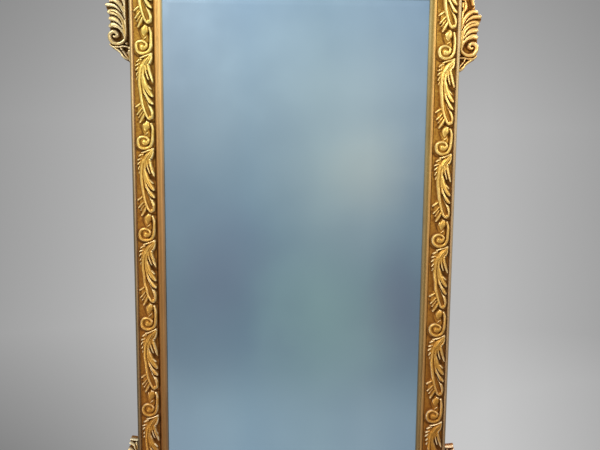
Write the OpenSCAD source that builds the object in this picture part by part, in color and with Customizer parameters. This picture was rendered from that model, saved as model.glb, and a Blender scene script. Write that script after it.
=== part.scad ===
// Pier mirror: a tall plate of mirror glass in a gilt wooden frame, with a running
// acanthus frieze, carved ears, a crest and an apron.
// X runs across, Z is up and the front faces -Y. The back lies on Y = 0, at the wall,
// and the origin is the middle of the back. Depths are measured forward from the wall.

/* [Frame] */
// Width over the moulding
frame_w = 783; // [700:1:1000]
// Height over the moulding
frame_h = 1394; // [1200:1:1700]
// Depth of the wood under the frieze
ground_t = 30; // [28:0.5:40]
// Radius of the outer bead
outer_bead_r = 3.5; // [3:0.1:6]
// Height of the outer bead's centre over the ground
outer_bead_stand = 4.5; // [2:0.1:8]
// Width of the channel beside the outer bead
channel_w = 2; // [1:0.1:4]
// Depth of the channels beside the frieze
channel_t = 1.5; // [0.5:0.1:3]
// Width of the frieze
frieze_w = 46.5; // [40:0.5:56]
// Width of the groove beside the inner bead
groove_w = 1; // [0.5:0.1:3]
// Radius of the inner bead
inner_bead_r = 3.5; // [2.5:0.1:5]
// Width of the fillet between the inner bead and the slip
fillet_w = 0.5; // [0.2:0.1:2]
// Width of the hollow slip beside the glass
slip_w = 9; // [6:0.5:12]
// Thickness of the lip in front of the glass
lip_t = 4; // [3:0.5:6]
// Overlap of the lip on the glass
lip_w = 8; // [6:0.5:8.5]

/* [Mirror plate] */
// Thickness of the plate
glass_t = 5; // [4:0.5:8]
// Width of the bevel
bevel_w = 24; // [10:1:40]
// Depth of the bevel at the edge of the plate
bevel_t = 1.2; // [0.5:0.1:2.5]
// Play between the plate and the rebate all round
glass_play = 1; // [0.5:0.1:2]
// Play between the plate and its lip
seat_play = 0.1; // [0.05:0.05:0.5]
// Length of a setting block
block_l = 60; // [30:1:100]
// Width of a setting block
block_w = 12; // [8:1:20]
// Thickness of a setting block
block_t = 5; // [3:0.5:8]

/* [Back boards] */
// Thickness of the back boards
board_t = 8; // [6:0.5:12]
// Width of the ledge that the boards lie on
ledge_w = 12; // [10:0.5:16]
// Gap between the boards, and between boards and rebate
board_gap = 1; // [0.5:0.1:2]
// Distance of the screws from a board's end
board_screw_in = 5.5; // [4.5:0.1:7]
// Radius of a wood screw's shank
screw_r = 1.7; // [1.2:0.1:2]
// Radius of a wood screw's head
screw_head_r = 3.4; // [2.8:0.1:3.6]
// Depth of a countersunk head
screw_head_t = 2; // [1.5:0.1:2.5]
// Play round a screw
screw_play = 0.1; // [0.05:0.05:0.3]
// Reach of a screw into the wood under it
screw_bite = 12; // [8:0.5:15]

/* [Corner keys] */
// Leg of the triangular key in each mitre
key_leg = 60; // [40:1:70]
// Thickness of a key
key_t = 4; // [3:0.5:6]
// Depth of a key's back face from the wall
key_depth = 19.5; // [14:0.5:22]
// Play round a key
key_play = 0.1; // [0.05:0.05:0.3]

/* [Frieze] */
// Length of one repeat of the leaf and spiral on the stiles
motif_l = 224.5; // [180:0.5:280]
// Drop from the sight edge to the middle of the first spiral
spiral_drop = 122; // [60:1:200]
// Height of the relief over its bed
relief_h = 13; // [8:0.5:16]
// Thickness of the bed under the relief
bed_t = 1.2; // [0.8:0.1:3]
// Play between neighbouring strips of frieze
strip_play = 0.3; // [0.1:0.1:1]

/* [Ears] */
// Reach of an ear from the side of the frame
ear_w = 61; // [50:1:80]
// Drop from the upper sight edge to the eye of an upper ear's volute
ear_drop = 100; // [80:1:130]
// Rise from the lower sight edge to the eye of a lower ear's volute
ear_rise = 9; // [0:1:40]
// How much lower the right upper ear sits than the left one
right_ear_drop = 13.5; // [0:0.5:20]
// Width trimmed from the right upper ear where it meets the frame
right_ear_trim = 9.5; // [0:0.5:12]
// Depth of the back of the carvings outside the frame
carving_depth = 8; // [6:0.5:12]
// Thickness of the carvings under their relief
carving_t = 12; // [10:0.5:16]
// Height of the relief on the carvings
carving_relief = 14; // [8:0.5:18]
// Radius of a dowel
dowel_r = 3; // [2.5:0.1:4]
// Length of a dowel
dowel_l = 36; // [24:1:44]
// Play round a dowel
dowel_play = 0.15; // [0.1:0.05:0.3]

/* [Crest and apron] */
// Height of the crest over the top rail
crest_h = 190; // [140:1:240]
// Half the width of the crest
crest_half_w = 350; // [300:1:380]
// Drop of the apron under the bottom rail
apron_h = 92; // [60:1:130]
// Half the width of the apron
apron_half_w = 250; // [200:1:340]
// Distance between the cleats of the crest
crest_cleat_pitch = 150; // [110:1:200]
// Distance between the cleats of the apron
apron_cleat_pitch = 96; // [80:1:130]
// Width of a cleat
cleat_w = 30; // [20:1:50]
// Reach of a cleat down the rail
cleat_in = 42; // [32:1:48]
// Rise of a crest cleat over the rail
crest_cleat_out = 70; // [50:1:90]
// Drop of an apron cleat under the rail
apron_cleat_out = 26; // [20:1:30]
// Play round a cleat in its housing
cleat_play = 0.2; // [0.1:0.1:0.5]
// Distance of the end screws from a cleat's end
cleat_screw_in = 8; // [6:0.5:10]
// Wood left in front of a screw in the carvings
screw_skin = 3; // [2:0.5:5]

/* [Hangers] */
// Height of the rings' pivots over the middle of the frame
hanger_z = 380; // [250:1:450]
// Width of a hanger strap
strap_w = 18; // [14:0.5:22]
// Length of a hanger strap under its pivot
strap_l = 62; // [50:1:80]
// Thickness of a hanger strap
strap_t = 1.6; // [1.2:0.1:2]
// Radius of a ring's wire
wire_r = 2; // [1.5:0.1:2.2]
// Running play of the wire in its knuckle
wire_play = 0.08; // [0.03:0.01:0.1]
// Wall of the knuckle that holds the wire
knuckle_wall = 1.1; // [0.9:0.1:1.4]
// Length of the straight bar of a ring
ring_bar = 26; // [24:0.5:32]
// Reach of a ring from its pivot to the middle of its wire
ring_reach = 24; // [20:0.5:30]
// Room between a ring and the sides of its pocket
pocket_play = 2; // [1:0.5:4]
// Room between a hanging ring and its strap
ring_gap = 0.4; // [0.3:0.1:0.8]

/* [Hidden] */
$fn = 32;
eps = 0.5;
SIDES = ["left", "right"];
ENDS = ["top", "bottom"];
PLACES = ["left", "middle", "right"];
BOARDS = ["top", "middle", "bottom"];
CORNERS = [for (e = ENDS) for (s = SIDES) str(e, "_", s)];

// Colours of the materials
GOLD = "#d9a441";
BRIGHT_GOLD = "#e3b757";
RAW_WOOD = "#a9825a";
PALE_WOOD = "#c9a878";
SILVER = "#a8bccb";
STEEL = "#8d9196";

// Places across the moulding, measured inward from its outer edge
frieze_u = 2 * outer_bead_r + channel_w;
groove_u = frieze_u + frieze_w;
inner_bead_u = groove_u + groove_w;
slip_u = inner_bead_u + 2 * inner_bead_r + fillet_w;
moulding_w = slip_u + slip_w;
glass_wall_u = moulding_w - lip_w - glass_play;
ledge_u = glass_wall_u - ledge_w;

// Depths of the moulding's steps
glass_back = board_t + block_t;
bevel_at_lip = bevel_t * (1 - (lip_w - glass_play) / bevel_w);
lip_back = glass_back + glass_t - bevel_at_lip + seat_play;
sight_t = lip_back + lip_t;
slip_t = sight_t + slip_w;
bead_t = ground_t + outer_bead_stand;
frame_t = bead_t + outer_bead_r;

// Edges that other pieces are set from
half_w = frame_w / 2;
half_h = frame_h / 2;
sight_half_w = half_w - moulding_w;
sight_half_h = half_h - moulding_w;

function sx(side) = side == "left" ? -1 : 1;
function sz(end) = end == "top" ? 1 : -1;

module half_round(r) {
    intersection() {
        circle(r = r);
        translate([-2 * r, 0])
            square([4 * r, 2 * r]);
    }
}

// Section of the moulding: across the width, and forward from the wall
module moulding_section() {
    steps = [[0, 0], [ledge_u, 0], [ledge_u, board_t],
        [glass_wall_u, board_t], [glass_wall_u, lip_back], [moulding_w, lip_back],
        [moulding_w, slip_t], [inner_bead_u, slip_t],
        [inner_bead_u, ground_t - channel_t], [groove_u, ground_t - channel_t],
        [groove_u, ground_t], [frieze_u, ground_t],
        [frieze_u, ground_t - channel_t], [2 * outer_bead_r, ground_t - channel_t],
        [2 * outer_bead_r, bead_t], [0, bead_t]];
    difference() {
        union() {
            polygon(steps);
            translate([outer_bead_r, bead_t])
                half_round(outer_bead_r);
            translate([inner_bead_u + inner_bead_r, slip_t])
                half_round(inner_bead_r);
        }
        translate([moulding_w, slip_t])
            circle(r = slip_w);
    }
}

// Places a module that is drawn in X and Z, and built forward from a depth
module forward(depth, t) {
    translate([0, -depth, 0])
        rotate([90, 0, 0])
            linear_extrude(t)
                children();
}

// A hole or pin along the depth
module pin(p, depth, t, r) {
    translate([p.x, -depth, p.y])
        rotate([90, 0, 0])
            cylinder(h = t, r = r);
}

// A countersunk wood screw driven forward from a face at the given depth
module wood_screw(p, depth, length, play = 0) {
    r = screw_r + play;
    head = screw_head_r + play;
    translate([p.x, -depth, p.y])
        rotate([90, 0, 0])
            union() {
                cylinder(h = length + play, r = r);
                cylinder(h = screw_head_t, r1 = head, r2 = r);
            }
}

// One length of mitred moulding along X, with its outer edge at Z = 0 and its inside below
module mitred_moulding(length) {
    cut = moulding_w + 1;
    intersection() {
        rotate([0, 90, 0])
            linear_extrude(length, center = true)
                mirror([0, 1])
                    moulding_section();
        forward(-1, frame_t + 2)
            polygon([[-length / 2 - 1, 1], [length / 2 + 1, 1],
                     [length / 2 - cut, -cut], [-length / 2 + cut, -cut]]);
    }
}

// Key pockets at both mitres of a length of moulding
module key_pockets(length) {
    leg = key_leg + key_play;
    for (m = [0, 1])
        mirror([m, 0, 0])
            forward(key_depth - key_play / 2, key_t + key_play)
                polygon([[-length / 2 - 1, 1], [-length / 2 + leg + 1, 1],
                         [-length / 2 + leg, 0], [-length / 2, -leg],
                         [-length / 2 - 1, -leg - 1]]);
}

// Sizes of the back boards, counted from the top, and places of their screws
board_count = len(BOARDS);
board_open_h = frame_h - 2 * ledge_u - 2 * board_gap;
board_h = (board_open_h - (board_count - 1) * board_gap) / board_count;
board_w = frame_w - 2 * ledge_u - 2 * board_gap;
board_screw_x = board_w / 2 - board_screw_in;
board_screw_share = 0.38;
function board_z(i) = board_open_h / 2 - board_h / 2 - i * (board_h + board_gap);
board_screw_places = [for (i = [0 : board_count - 1]) for (k = [-1 : 1]) for (s = [-1, 1])
    [s * board_screw_x, board_z(i) + k * board_h * board_screw_share]];

// Places of the hangers
hanger_x = half_w - ledge_u / 2;
knuckle_r = wire_r + wire_play + knuckle_wall;
pocket_t = knuckle_r + wire_r + ring_gap + strap_t;
pivot_depth = knuckle_r;
pocket_w = ring_bar + 2 * wire_r + 2 * pocket_play;
pocket_up = ring_reach + wire_r + pocket_play;
pocket_down = max(strap_l, ring_reach + wire_r) + pocket_play;
strap_screw_shares = [0.58, 0.87];
strap_screws = [for (k = strap_screw_shares) -strap_l * k];
strap_screw_l = strap_t + screw_bite;

// Places of the dowels in the ears, as heights over the volute's eye
upper_dowels = [-36, 44];
lower_dowels = [-30, 60];
upper_eye_z = sight_half_h - ear_drop;
lower_eye_z = -sight_half_h + ear_rise;
dowel_depth = carving_depth + carving_t / 2;
function eye_z(side, end) = end == "bottom" ? lower_eye_z
    : side == "left" ? upper_eye_z : upper_eye_z - right_ear_drop;
function dowel_zs(side, end) =
    [for (v = end == "top" ? upper_dowels : lower_dowels) eye_z(side, end) + v];

// A stile with its bores and pockets, drawn on the left
module stile(side) {
    difference() {
        translate([-half_w, 0, 0])
            rotate([0, -90, 0])
                difference() {
                    mitred_moulding(frame_h);
                    key_pockets(frame_h);
                }
        for (p = board_screw_places)
            if (p.x < 0)
                pin(p, board_t - 1, screw_bite + 1 + screw_play, screw_r + screw_play);
        for (end = ENDS)
            for (z = dowel_zs(side, end))
                translate([-half_w - 1, -dowel_depth, z])
                    rotate([0, 90, 0])
                        cylinder(h = 1 + dowel_l / 2 + dowel_play, r = dowel_r + dowel_play);
        translate([-hanger_x - pocket_w / 2, -pocket_t, hanger_z - pocket_down])
            cube([pocket_w, pocket_t + 1, pocket_down + pocket_up]);
        for (v = strap_screws)
            pin([-hanger_x, hanger_z + v], pocket_t - 1,
                screw_bite + 1 + screw_play, screw_r + screw_play);
    }
}

// Places of the cleats along the rails
function cleat_x(end) = [-1, 0, 1] * (end == "top" ? crest_cleat_pitch : apron_cleat_pitch);
function cleat_out(end) = end == "top" ? crest_cleat_out : apron_cleat_out;
carving_bite = carving_t - screw_skin;
rail_screw_share = 0.3;
carving_screw_share = 0.4;
function cleat_screw_vs(end) = [-cleat_in + cleat_screw_in, -cleat_in * rail_screw_share,
    cleat_out(end) * carving_screw_share, cleat_out(end) - cleat_screw_in];

// Top rail with the housings of its cleats, flipped for the bottom one
module rail(end) {
    difference() {
        translate([0, 0, half_h])
            difference() {
                mitred_moulding(frame_w);
                key_pockets(frame_w);
            }
        for (x = cleat_x(end)) {
            translate([x - cleat_w / 2 - cleat_play, -carving_depth, half_h - cleat_in - cleat_play])
                cube([cleat_w + 2 * cleat_play, carving_depth + 1, cleat_in + cleat_play + 1]);
            for (v = cleat_screw_vs(end))
                if (v < 0)
                    pin([x, half_h + v], carving_depth - 1,
                        screw_bite + 1 + screw_play, screw_r + screw_play);
        }
    }
}

module stile_at(side) {
    color(GOLD)
        mirror([side == "right" ? 1 : 0, 0, 0])
            stile(side);
}

module rail_at(end) {
    color(GOLD)
        mirror([0, 0, end == "bottom" ? 1 : 0])
            rail(end);
}

module corner_key(side, end) {
    color(PALE_WOOD)
        translate([sx(side) * half_w, 0, sz(end) * half_h])
            mirror([side == "right" ? 1 : 0, 0, 0])
                mirror([0, 0, end == "bottom" ? 1 : 0])
                    forward(key_depth, key_t)
                        polygon([[0, 0], [key_leg, 0], [0, -key_leg]]);
}

// ---- Carving. A stroke is [points, half widths, heights], each of the last two given
// ---- at its start, middle and end. Points are across and down, in millimetres.

function blend3(v, t) = v[0] * (1 - t) * (1 - 2 * t) + 4 * v[1] * t * (1 - t) + v[2] * t * (2 * t - 1);
function unit(v) = v / max(norm(v), 0.001);
function bend(a, b, c, d, t) = 0.5 * (2 * b + (c - a) * t + (2 * a - 5 * b + 4 * c - d) * t * t
    + (3 * b - 3 * c + d - a) * t * t * t);
function smooth(p, n) = concat(
    [for (i = [0 : len(p) - 2]) for (j = [0 : n - 1])
        bend(p[max(i - 1, 0)], p[i], p[i + 1], p[min(i + 2, len(p) - 1)], j / n)],
    [p[len(p) - 1]]);

// Cross-section of a ridge at station i of the line p
function ridge_section(p, i, w, h, sink) =
    let (d = unit(p[min(i + 1, len(p) - 1)] - p[max(i - 1, 0)]),
         side = [-d.y, d.x] * w)
    [[p[i].x - side.x, p[i].y - side.y, -sink], [p[i].x + side.x, p[i].y + side.y, -sink],
     [p[i].x, p[i].y, h]];

// A ridge along a line, pointed towards +Z, with its foot sunk into what carries it
module ridge(stroke, steps = 1, sink = eps) {
    p = smooth(stroke[0], steps);
    last = len(p) - 1;
    sections = [for (i = [0 : last])
        ridge_section(p, i, max(blend3(stroke[1], i / last), 0.6),
                      max(blend3(stroke[2], i / last), 0.8), sink)];
    for (i = [0 : last - 1])
        hull()
            polyhedron(concat(sections[i], sections[i + 1]),
                       [[0, 1, 2], [5, 4, 3], [0, 3, 4, 1], [1, 4, 5, 2], [2, 5, 3, 0]]);
}

// A short leaf lobe: a four-sided point whose peak stands over the middle of its line
module lobe(stroke, sink = eps) {
    p = stroke[0];
    side = unit([p[0].y - p[2].y, p[2].x - p[0].x]) * stroke[1][1];
    hull()
        polyhedron([[p[0].x, p[0].y, -sink], [p[1].x - side.x, p[1].y - side.y, -sink],
                    [p[2].x, p[2].y, -sink], [p[1].x + side.x, p[1].y + side.y, -sink],
                    [p[1].x, p[1].y, stroke[2][1]]],
                   [[3, 2, 1, 0], [0, 1, 4], [1, 2, 4], [2, 3, 4], [3, 0, 4]]);
}

// Strokes of three points are lobes, and longer ones are ridges
module carve(strokes, sink = eps) {
    for (s = strokes)
        if (len(s[0]) > 3)
            ridge(s, 1, sink);
        else
            lobe(s, sink);
}

// A low faceted dome for balls and eyes
module dome(p, r, h, sink = eps, n = 6) {
    translate([p.x, p.y, -sink])
        hull()
            cylinder(h = sink + h, r1 = r, r2 = r * 0.5, $fn = n);
}

// Line of a spiral that turns from +X through +Y, from radius r0 in to r1
function spiral(c, r0, r1, turn, n, from = 0, squash = [1, 1]) = [for (i = [0 : n])
    let (a = from + turn * i / n, r = r0 + (r1 - r0) * i / n)
    [c.x + squash.x * r * cos(a), c.y + squash.y * r * sin(a)]];

// One repeat of the frieze: the leaf hangs over its spiral, in a field of these sizes
motif_field = [46.5, 224.5];
motif_relief = 13;
motif_leaf = [
    // crown of the leaf, from its tip under the spiral above
    [[[42, 16], [34, 27], [25, 38], [16, 56]], [3, 9.5, 7], [6, 11, 10]],
    // spine of the leaf, hooked at its foot
    [[[16, 48], [10, 86], [14, 128], [26, 164], [41, 162]], [6.5, 5.5, 2.5], [10, 12, 7]],
    // three short lobes beside the crown
    [[[25, 24], [15, 28], [6, 34]], [2, 4.2, 1.6], [6, 9, 3]],
    [[[19, 35], [10, 40], [2, 43]], [2, 3.8, 1.4], [6, 8.5, 3]],
    [[[14, 45], [7, 51], [3, 62]], [2, 4, 2.6], [6, 8.5, 5]],
    // two fingers beside the spine
    [[[22, 42], [27, 62], [33, 79]], [3, 4.4, 1], [10, 11, 5]],
    [[[31, 38], [36, 60], [42, 82]], [3, 4.4, 1], [8, 11, 4]],
    // three crescent lobes
    [[[20, 62], [29, 91], [43, 112]], [4, 7.5, 1], [10, 12, 5]],
    [[[18, 86], [28, 113], [43, 133]], [4, 7, 1], [10, 11.5, 5]],
    [[[18, 108], [29, 135], [43, 155]], [4, 5.5, 1], [9, 11, 5]],
    // lobes at the foot of the leaf
    [[[16, 124], [9, 135], [3, 141]], [2.5, 4, 1.4], [7, 8.5, 4]],
    [[[20, 139], [13, 150], [4, 160]], [2.5, 3.8, 1.6], [8, 8.5, 4]],
    [[[25, 151], [18, 165], [11, 179]], [2.5, 4.4, 1.6], [8, 9, 4]],
    // calyx over the stem
    [[[23, 172], [29, 185], [30, 201]], [4, 7.6, 1.5], [6, 10, 5]]
];
motif_stem = concat([[38, 181], [43, 198]],
    spiral([22, 224.5], 19.5, 9.5, 430, 8, 0, [1.12, 0.92]));
motif_ball = [37, 169.5];

// Relief of one repeat in its own field, standing on Z = 0
module motif() {
    carve(motif_leaf);
    ridge([motif_stem, [4, 4.2, 3], [6, 9, 8]]);
    dome([21, 224.5], 7.5, 8.5);
    dome(motif_ball, 6, 9);
}

// Frieze strip along +Y of its own plane, w across; the first spiral lies at first_spiral
module frieze_strip(length, pitch, first_spiral) {
    count = ceil((length - first_spiral) / pitch) + 1;
    intersection() {
        union() {
            translate([0, 0, -bed_t])
                cube([frieze_w, length, bed_t + 0.2]);
            for (k = [0 : count - 1])
                translate([0, first_spiral + (k - 1) * pitch, 0])
                    scale([frieze_w / motif_field.x, pitch / motif_field.y, relief_h / motif_relief])
                        motif();
        }
        translate([0, 0, -bed_t])
            cube([frieze_w, length, bed_t + relief_h * 2]);
    }
}

strip_h = frame_h - 2 * groove_u - 2 * strip_play;
strip_w = frame_w - 2 * groove_u - 2 * strip_play;
first_spiral = spiral_drop + (half_h - sight_half_h) - groove_u - strip_play;
rail_repeats = round(strip_w / motif_l);
rail_pitch = strip_w / rail_repeats;
rail_first_share = 0.9;

// Turns carving that is drawn across and down, and stands on +Z, to face the front
module face_front() {
    rotate([-90, 0, 0])
        mirror([0, 0, 1])
            children();
}

module frieze_stile(side) {
    x = side == "left" ? -half_w + frieze_u : half_w - groove_u;
    color(BRIGHT_GOLD)
        translate([x, -ground_t - bed_t, strip_h / 2])
            face_front()
                frieze_strip(strip_h, motif_l, first_spiral);
}

module frieze_rail(end) {
    z = end == "top" ? half_h - groove_u : -half_h + frieze_u;
    color(BRIGHT_GOLD)
        translate([-strip_w / 2, -ground_t - bed_t, z])
            rotate([0, -90, 0])
                face_front()
                    frieze_strip(strip_w, rail_pitch, rail_pitch * rail_first_share);
}

// Leaf that fills the square where two strips meet, drawn with its root at the outer corner
module corner_leaf(side, end) {
    s = frieze_w / motif_field.x;
    color(BRIGHT_GOLD)
        translate([sx(side) * (half_w - frieze_u), -ground_t - bed_t, sz(end) * (half_h - frieze_u)])
            mirror([side == "right" ? 1 : 0, 0, 0])
                mirror([0, 0, end == "bottom" ? 1 : 0])
                    face_front()
                        intersection() {
                            union() {
                                translate([0, 0, -bed_t])
                                    cube([frieze_w, frieze_w, bed_t + 0.2]);
                                scale([s, s, relief_h / motif_relief])
                                    corner_relief();
                            }
                            translate([0, 0, -bed_t])
                                cube([frieze_w, frieze_w, bed_t + relief_h * 2]);
                        }
}

module corner_relief() {
    ridge([[[4, 4], [22, 22], [43, 43]], [4, 7, 1], [8, 12, 6]]);
    for (m = [0, 1])
        mirror([m, -m, 0])
            carve([[[[6, 6], [16, 28], [31, 43]], [3, 5, 1], [8, 10, 5]],
                   [[[5, 7], [8, 26], [16, 42]], [3, 5, 1], [7, 9, 4]],
                   [[[3, 8], [3, 20], [5, 34]], [2, 3, 1], [6, 7, 4]]]);
    dome([7, 7], 6, 11);
}

// ---- Ears. Points are outward from the side of the frame and up from the volute's eye.

ear_field_w = 61;
carving_field_relief = 14;
// How far the relief of the outer carvings is sunk in their plates
relief_sink = 2;
upper_feathers = [
    [[[13, 0], [19, 17], [30, 28], [51, 27]], [3, 6.5, 5.5], [7, 11, 7]],
    [[[13, 8], [18, 27], [29, 40], [52, 43.5]], [3, 6.5, 6], [8, 11.5, 7]],
    [[[11, 16], [15, 40], [27, 56], [54, 60]], [3, 8, 7.5], [8, 12, 7]],
    [[[10, 32], [14, 57], [27, 71], [58, 76]], [3, 6, 4.6], [9, 13, 7]],
    [[[10, 46], [15, 66], [28, 82], [50, 86]], [3, 5.4, 4], [9, 13, 7]]
];
upper_rims = [
    [[[52, -16], [42, -22], [22, -21], [9, -19]], [3, 3, 2.4], [6, 9, 8]],
    [[[42, -23], [31, -30], [21, -40], [12, -50]], [2.4, 4.4, 3], [4, 8, 5]],
    [[[24, -22], [17, -34], [6, -50]], [3, 3.4, 2], [8, 9, 5]],
    [[[4, -20], [4, -40], [3, -56]], [4, 4, 2.6], [6, 7, 4]],
    [[[44, 94], [38, 108], [33, 124], [21, 134], [10, 127], [11, 114], [19, 113]], [3, 4, 3], [6, 11, 8]],
    [[[11, 8], [11, 50], [17, 84], [24, 104]], [3, 4.6, 3], [8, 10, 7]],
    [[[4, 100], [5, 124], [12, 148], [24, 158]], [3, 4.6, 1.6], [8, 10, 5]]
];
ear_volute = [[13, -2], [20, -10], [30, -15], [42, -13], [49, -4], [49, 7], [42, 13], [34, 10], [33, 4],
    [41, 3]];
upper_plate = [[0, -60], [5, -59], [20, -50], [22, -40], [38, -31], [52, -18], [53, 20], [55, 60],
    [60, 71], [57, 82], [46, 90], [42, 104], [35, 126], [26, 150], [14, 152], [0, 132]];

lower_feathers = [
    [[[14, -12], [17, 8], [27, 19], [45, 24]], [3, 5, 4.5], [7, 12, 6]],
    [[[12, 4], [15, 24], [25, 36], [44, 42]], [3, 5.5, 4.5], [8, 12, 6]],
    [[[10, 22], [14, 42], [22, 55], [40, 62]], [3, 5.5, 4.5], [8, 12, 6]],
    [[[8, 42], [11, 62], [18, 76], [34, 84]], [3, 5, 4], [8, 12, 6]],
    [[[6, 60], [8, 80], [14, 96], [27, 104]], [3, 5, 4], [8, 11, 6]],
    [[[5, 0], [5, 60], [9, 110], [25, 122]], [2.6, 4.5, 3.4], [8, 11, 6]]
];
lower_rims = [
    [[[3, 104], [6, 124], [13, 131], [26, 132]], [3.4, 4.4, 3.6], [8, 11, 8]],
    [[[50, -12], [41, -25], [24, -30], [10, -24]], [3, 3.6, 2.4], [5, 9, 8]],
    [[[46, -20], [32, -36], [16, -52], [4, -74]], [2.4, 5, 2], [4, 9, 5]],
    [[[8, -32], [6, -54], [3, -86]], [5, 4.6, 2.6], [8, 8, 4]]
];
lower_plate = [[0, -92], [5, -88], [18, -56], [38, -34], [50, -18], [49, 24], [46, 46], [40, 66],
    [34, 88], [26, 110], [26, 136], [12, 138], [0, 124]];

// Ear drawn on the left, built forward from the back of the carvings
module ear_solid(feathers, rims, plate, side, end) {
    k = ear_w / ear_field_w;
    h = carving_relief / carving_field_relief;
    trim = side == "right" && end == "top" ? right_ear_trim : 0;
    difference() {
        translate([-half_w + trim, -carving_depth, eye_z(side, end)])
            rotate([90, 0, 0])
                mirror([1, 0, 0])
                    union() {
                        linear_extrude(carving_t)
                            scale([k, 1])
                                polygon(plate);
                        translate([0, 0, carving_t])
                            scale([k, 1, h]) {
                                carve(concat(feathers, rims), relief_sink);
                                ridge([ear_volute, [4, 4.2, 2.6], [8, 12, 9]], 1, relief_sink);
                            }
                    }
        translate([-half_w, -2 * frame_t, -frame_h])
            cube([half_w, 2 * frame_t, 2 * frame_h]);
        for (z = dowel_zs(side, end))
            translate([-half_w - dowel_l / 2 - dowel_play, -dowel_depth, z])
                rotate([0, 90, 0])
                    cylinder(h = dowel_l, r = (dowel_r + dowel_play) / cos(180 / 8), $fn = 8);
    }
}

module ear(side, end) {
    color(BRIGHT_GOLD)
        mirror([side == "right" ? 1 : 0, 0, 0])
            if (end == "top")
                ear_solid(upper_feathers, upper_rims, upper_plate, side, end);
            else
                ear_solid(lower_feathers, lower_rims, lower_plate, side, end);
}

module ear_dowels() {
    color(PALE_WOOD)
        for (side = SIDES)
            for (end = ENDS)
                for (z = dowel_zs(side, end))
                    translate([sx(side) * half_w, -dowel_depth, z])
                        rotate([0, 90, 0])
                            cylinder(h = dowel_l, r = dowel_r, center = true);
}

// ---- Crest and apron. Points are across from the middle and out from the rail.

crest_field = [350, 190];
crest_leaves = [
    [[[112, 76], [110, 104], [120, 132]], [4, 8, 2], [8, 13, 6]],
    [[[126, 80], [136, 104], [156, 122]], [4, 8, 2], [8, 13, 6]],
    [[[150, 76], [166, 98], [190, 107]], [4, 8, 2], [8, 13, 6]],
    [[[176, 66], [196, 84], [222, 88]], [4, 7, 2], [8, 12, 6]],
    [[[206, 52], [228, 66], [254, 66]], [4, 6, 2], [8, 11, 6]],
    [[[240, 38], [262, 48], [284, 46]], [3, 5, 2], [7, 10, 5]],
    [[[66, 6], [104, 12], [150, 26], [206, 26], [262, 8]], [4, 8, 3], [8, 11, 6]],
    [[[150, 26], [166, 14], [184, 6]], [4, 6, 2], [8, 10, 6]],
    [[[150, 28], [164, 40], [186, 44]], [4, 6, 2], [8, 10, 6]]
];
crest_band = [[112, 74], [148, 78], [190, 62], [238, 38], [288, 18], [318, 8]];
crest_inner_eye = [112, 46];
crest_outer_eye = [322, 32];
crest_inner_volute = spiral(crest_inner_eye, 28, 8, 500, 12, 90);
crest_outer_volute = spiral(crest_outer_eye, 24, 7, 450, 10, 265);
crest_plate = [[61, 0], [61, 14], [82, 28], [80, 58], [98, 78], [106, 110], [122, 122], [150, 114],
    [188, 98], [222, 80], [256, 60], [288, 42], [306, 50], [326, 54], [344, 38], [338, 14], [318, 0]];

module crest_scroll(side) {
    color(BRIGHT_GOLD)
        mirror([side == "left" ? 1 : 0, 0, 0])
            difference() {
                carved_on_rail(crest_half_w / crest_field.x, crest_h / crest_field.y, crest_plate, "top") {
                    carve(crest_leaves, relief_sink);
                    ridge([crest_band, [5, 6.5, 5], [11, 13, 11]], 1, relief_sink);
                    ridge([crest_inner_volute, [6, 6, 3.4], [13, 14, 10]], 1, relief_sink);
                    ridge([crest_outer_volute, [5, 5, 3], [11, 12, 9]], 1, relief_sink);
                    dome(crest_inner_eye, 5.5, 10, relief_sink);
                    dome(crest_outer_eye, 5, 9, relief_sink);
                }
                cleat_pilots("top", 2);
            }
}

// Places carving on a rail: out from its outer edge, forward from the back of the carvings
module carved_on_rail(kx, kz, plate, end) {
    mirror([0, 0, end == "bottom" ? 1 : 0])
        translate([0, -carving_depth, half_h])
            rotate([90, 0, 0])
                union() {
                    linear_extrude(carving_t)
                        scale([kx, kz])
                            polygon(plate);
                    intersection() {
                        translate([0, 0, carving_t])
                            scale([kx, kz, carving_relief / carving_field_relief])
                                children();
                        translate([-half_w, 0, 0])
                            cube([frame_w, half_h, half_h]);
                    }
                }
}

// Pilot holes for the screws of one cleat, numbered from the left
module cleat_pilots(end, i) {
    for (v = cleat_screw_vs(end))
        if (v > 0)
            translate([cleat_x(end)[i], -carving_depth + 1, sz(end) * (half_h + v)])
                rotate([90, 0, 0])
                    cylinder(h = carving_bite + 1 + screw_play, r = (screw_r + screw_play) / cos(180 / 6), $fn = 6);
}

// Shares of a fan lobe: its inner stations, and its widths and heights along its length
lobe_stations = [0.45, 0.82];
lobe_widths = [0.35, 1, 0.45];
lobe_heights = [0.7, 1, 0.5];

// A fan of lobes round a hub; each lobe is widest near its round tip
module fan(hub, count, spread, inner, middle_l, side_l, w, h) {
    for (i = [0 : count - 1])
        let (a = spread * (2 * i / (count - 1) - 1),
             l = side_l + (middle_l - side_l) * cos(a * 90 / spread),
             d = [sin(a), cos(a)])
        ridge([[hub + d * inner, hub + d * l * lobe_stations[0], hub + d * l * lobe_stations[1], hub + d * l],
               w * lobe_widths, h * lobe_heights], 1, relief_sink);
}

// Outline of a shell: a straight foot, and an arch that swells over its hub
function shell_plate(half_foot, foot_h, hub, r, swell, from, n) = concat(
    [[half_foot, 0], [half_foot, foot_h]],
    [for (i = [0 : n]) let (a = from + (180 - 2 * from) * i / n)
        hub + (r + swell * sin(a)) * [cos(a), sin(a)]],
    [[-half_foot, foot_h], [-half_foot, 0]]);

crest_hub = [0, 40];
crest_shell_eye = [38, 22];

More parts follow.
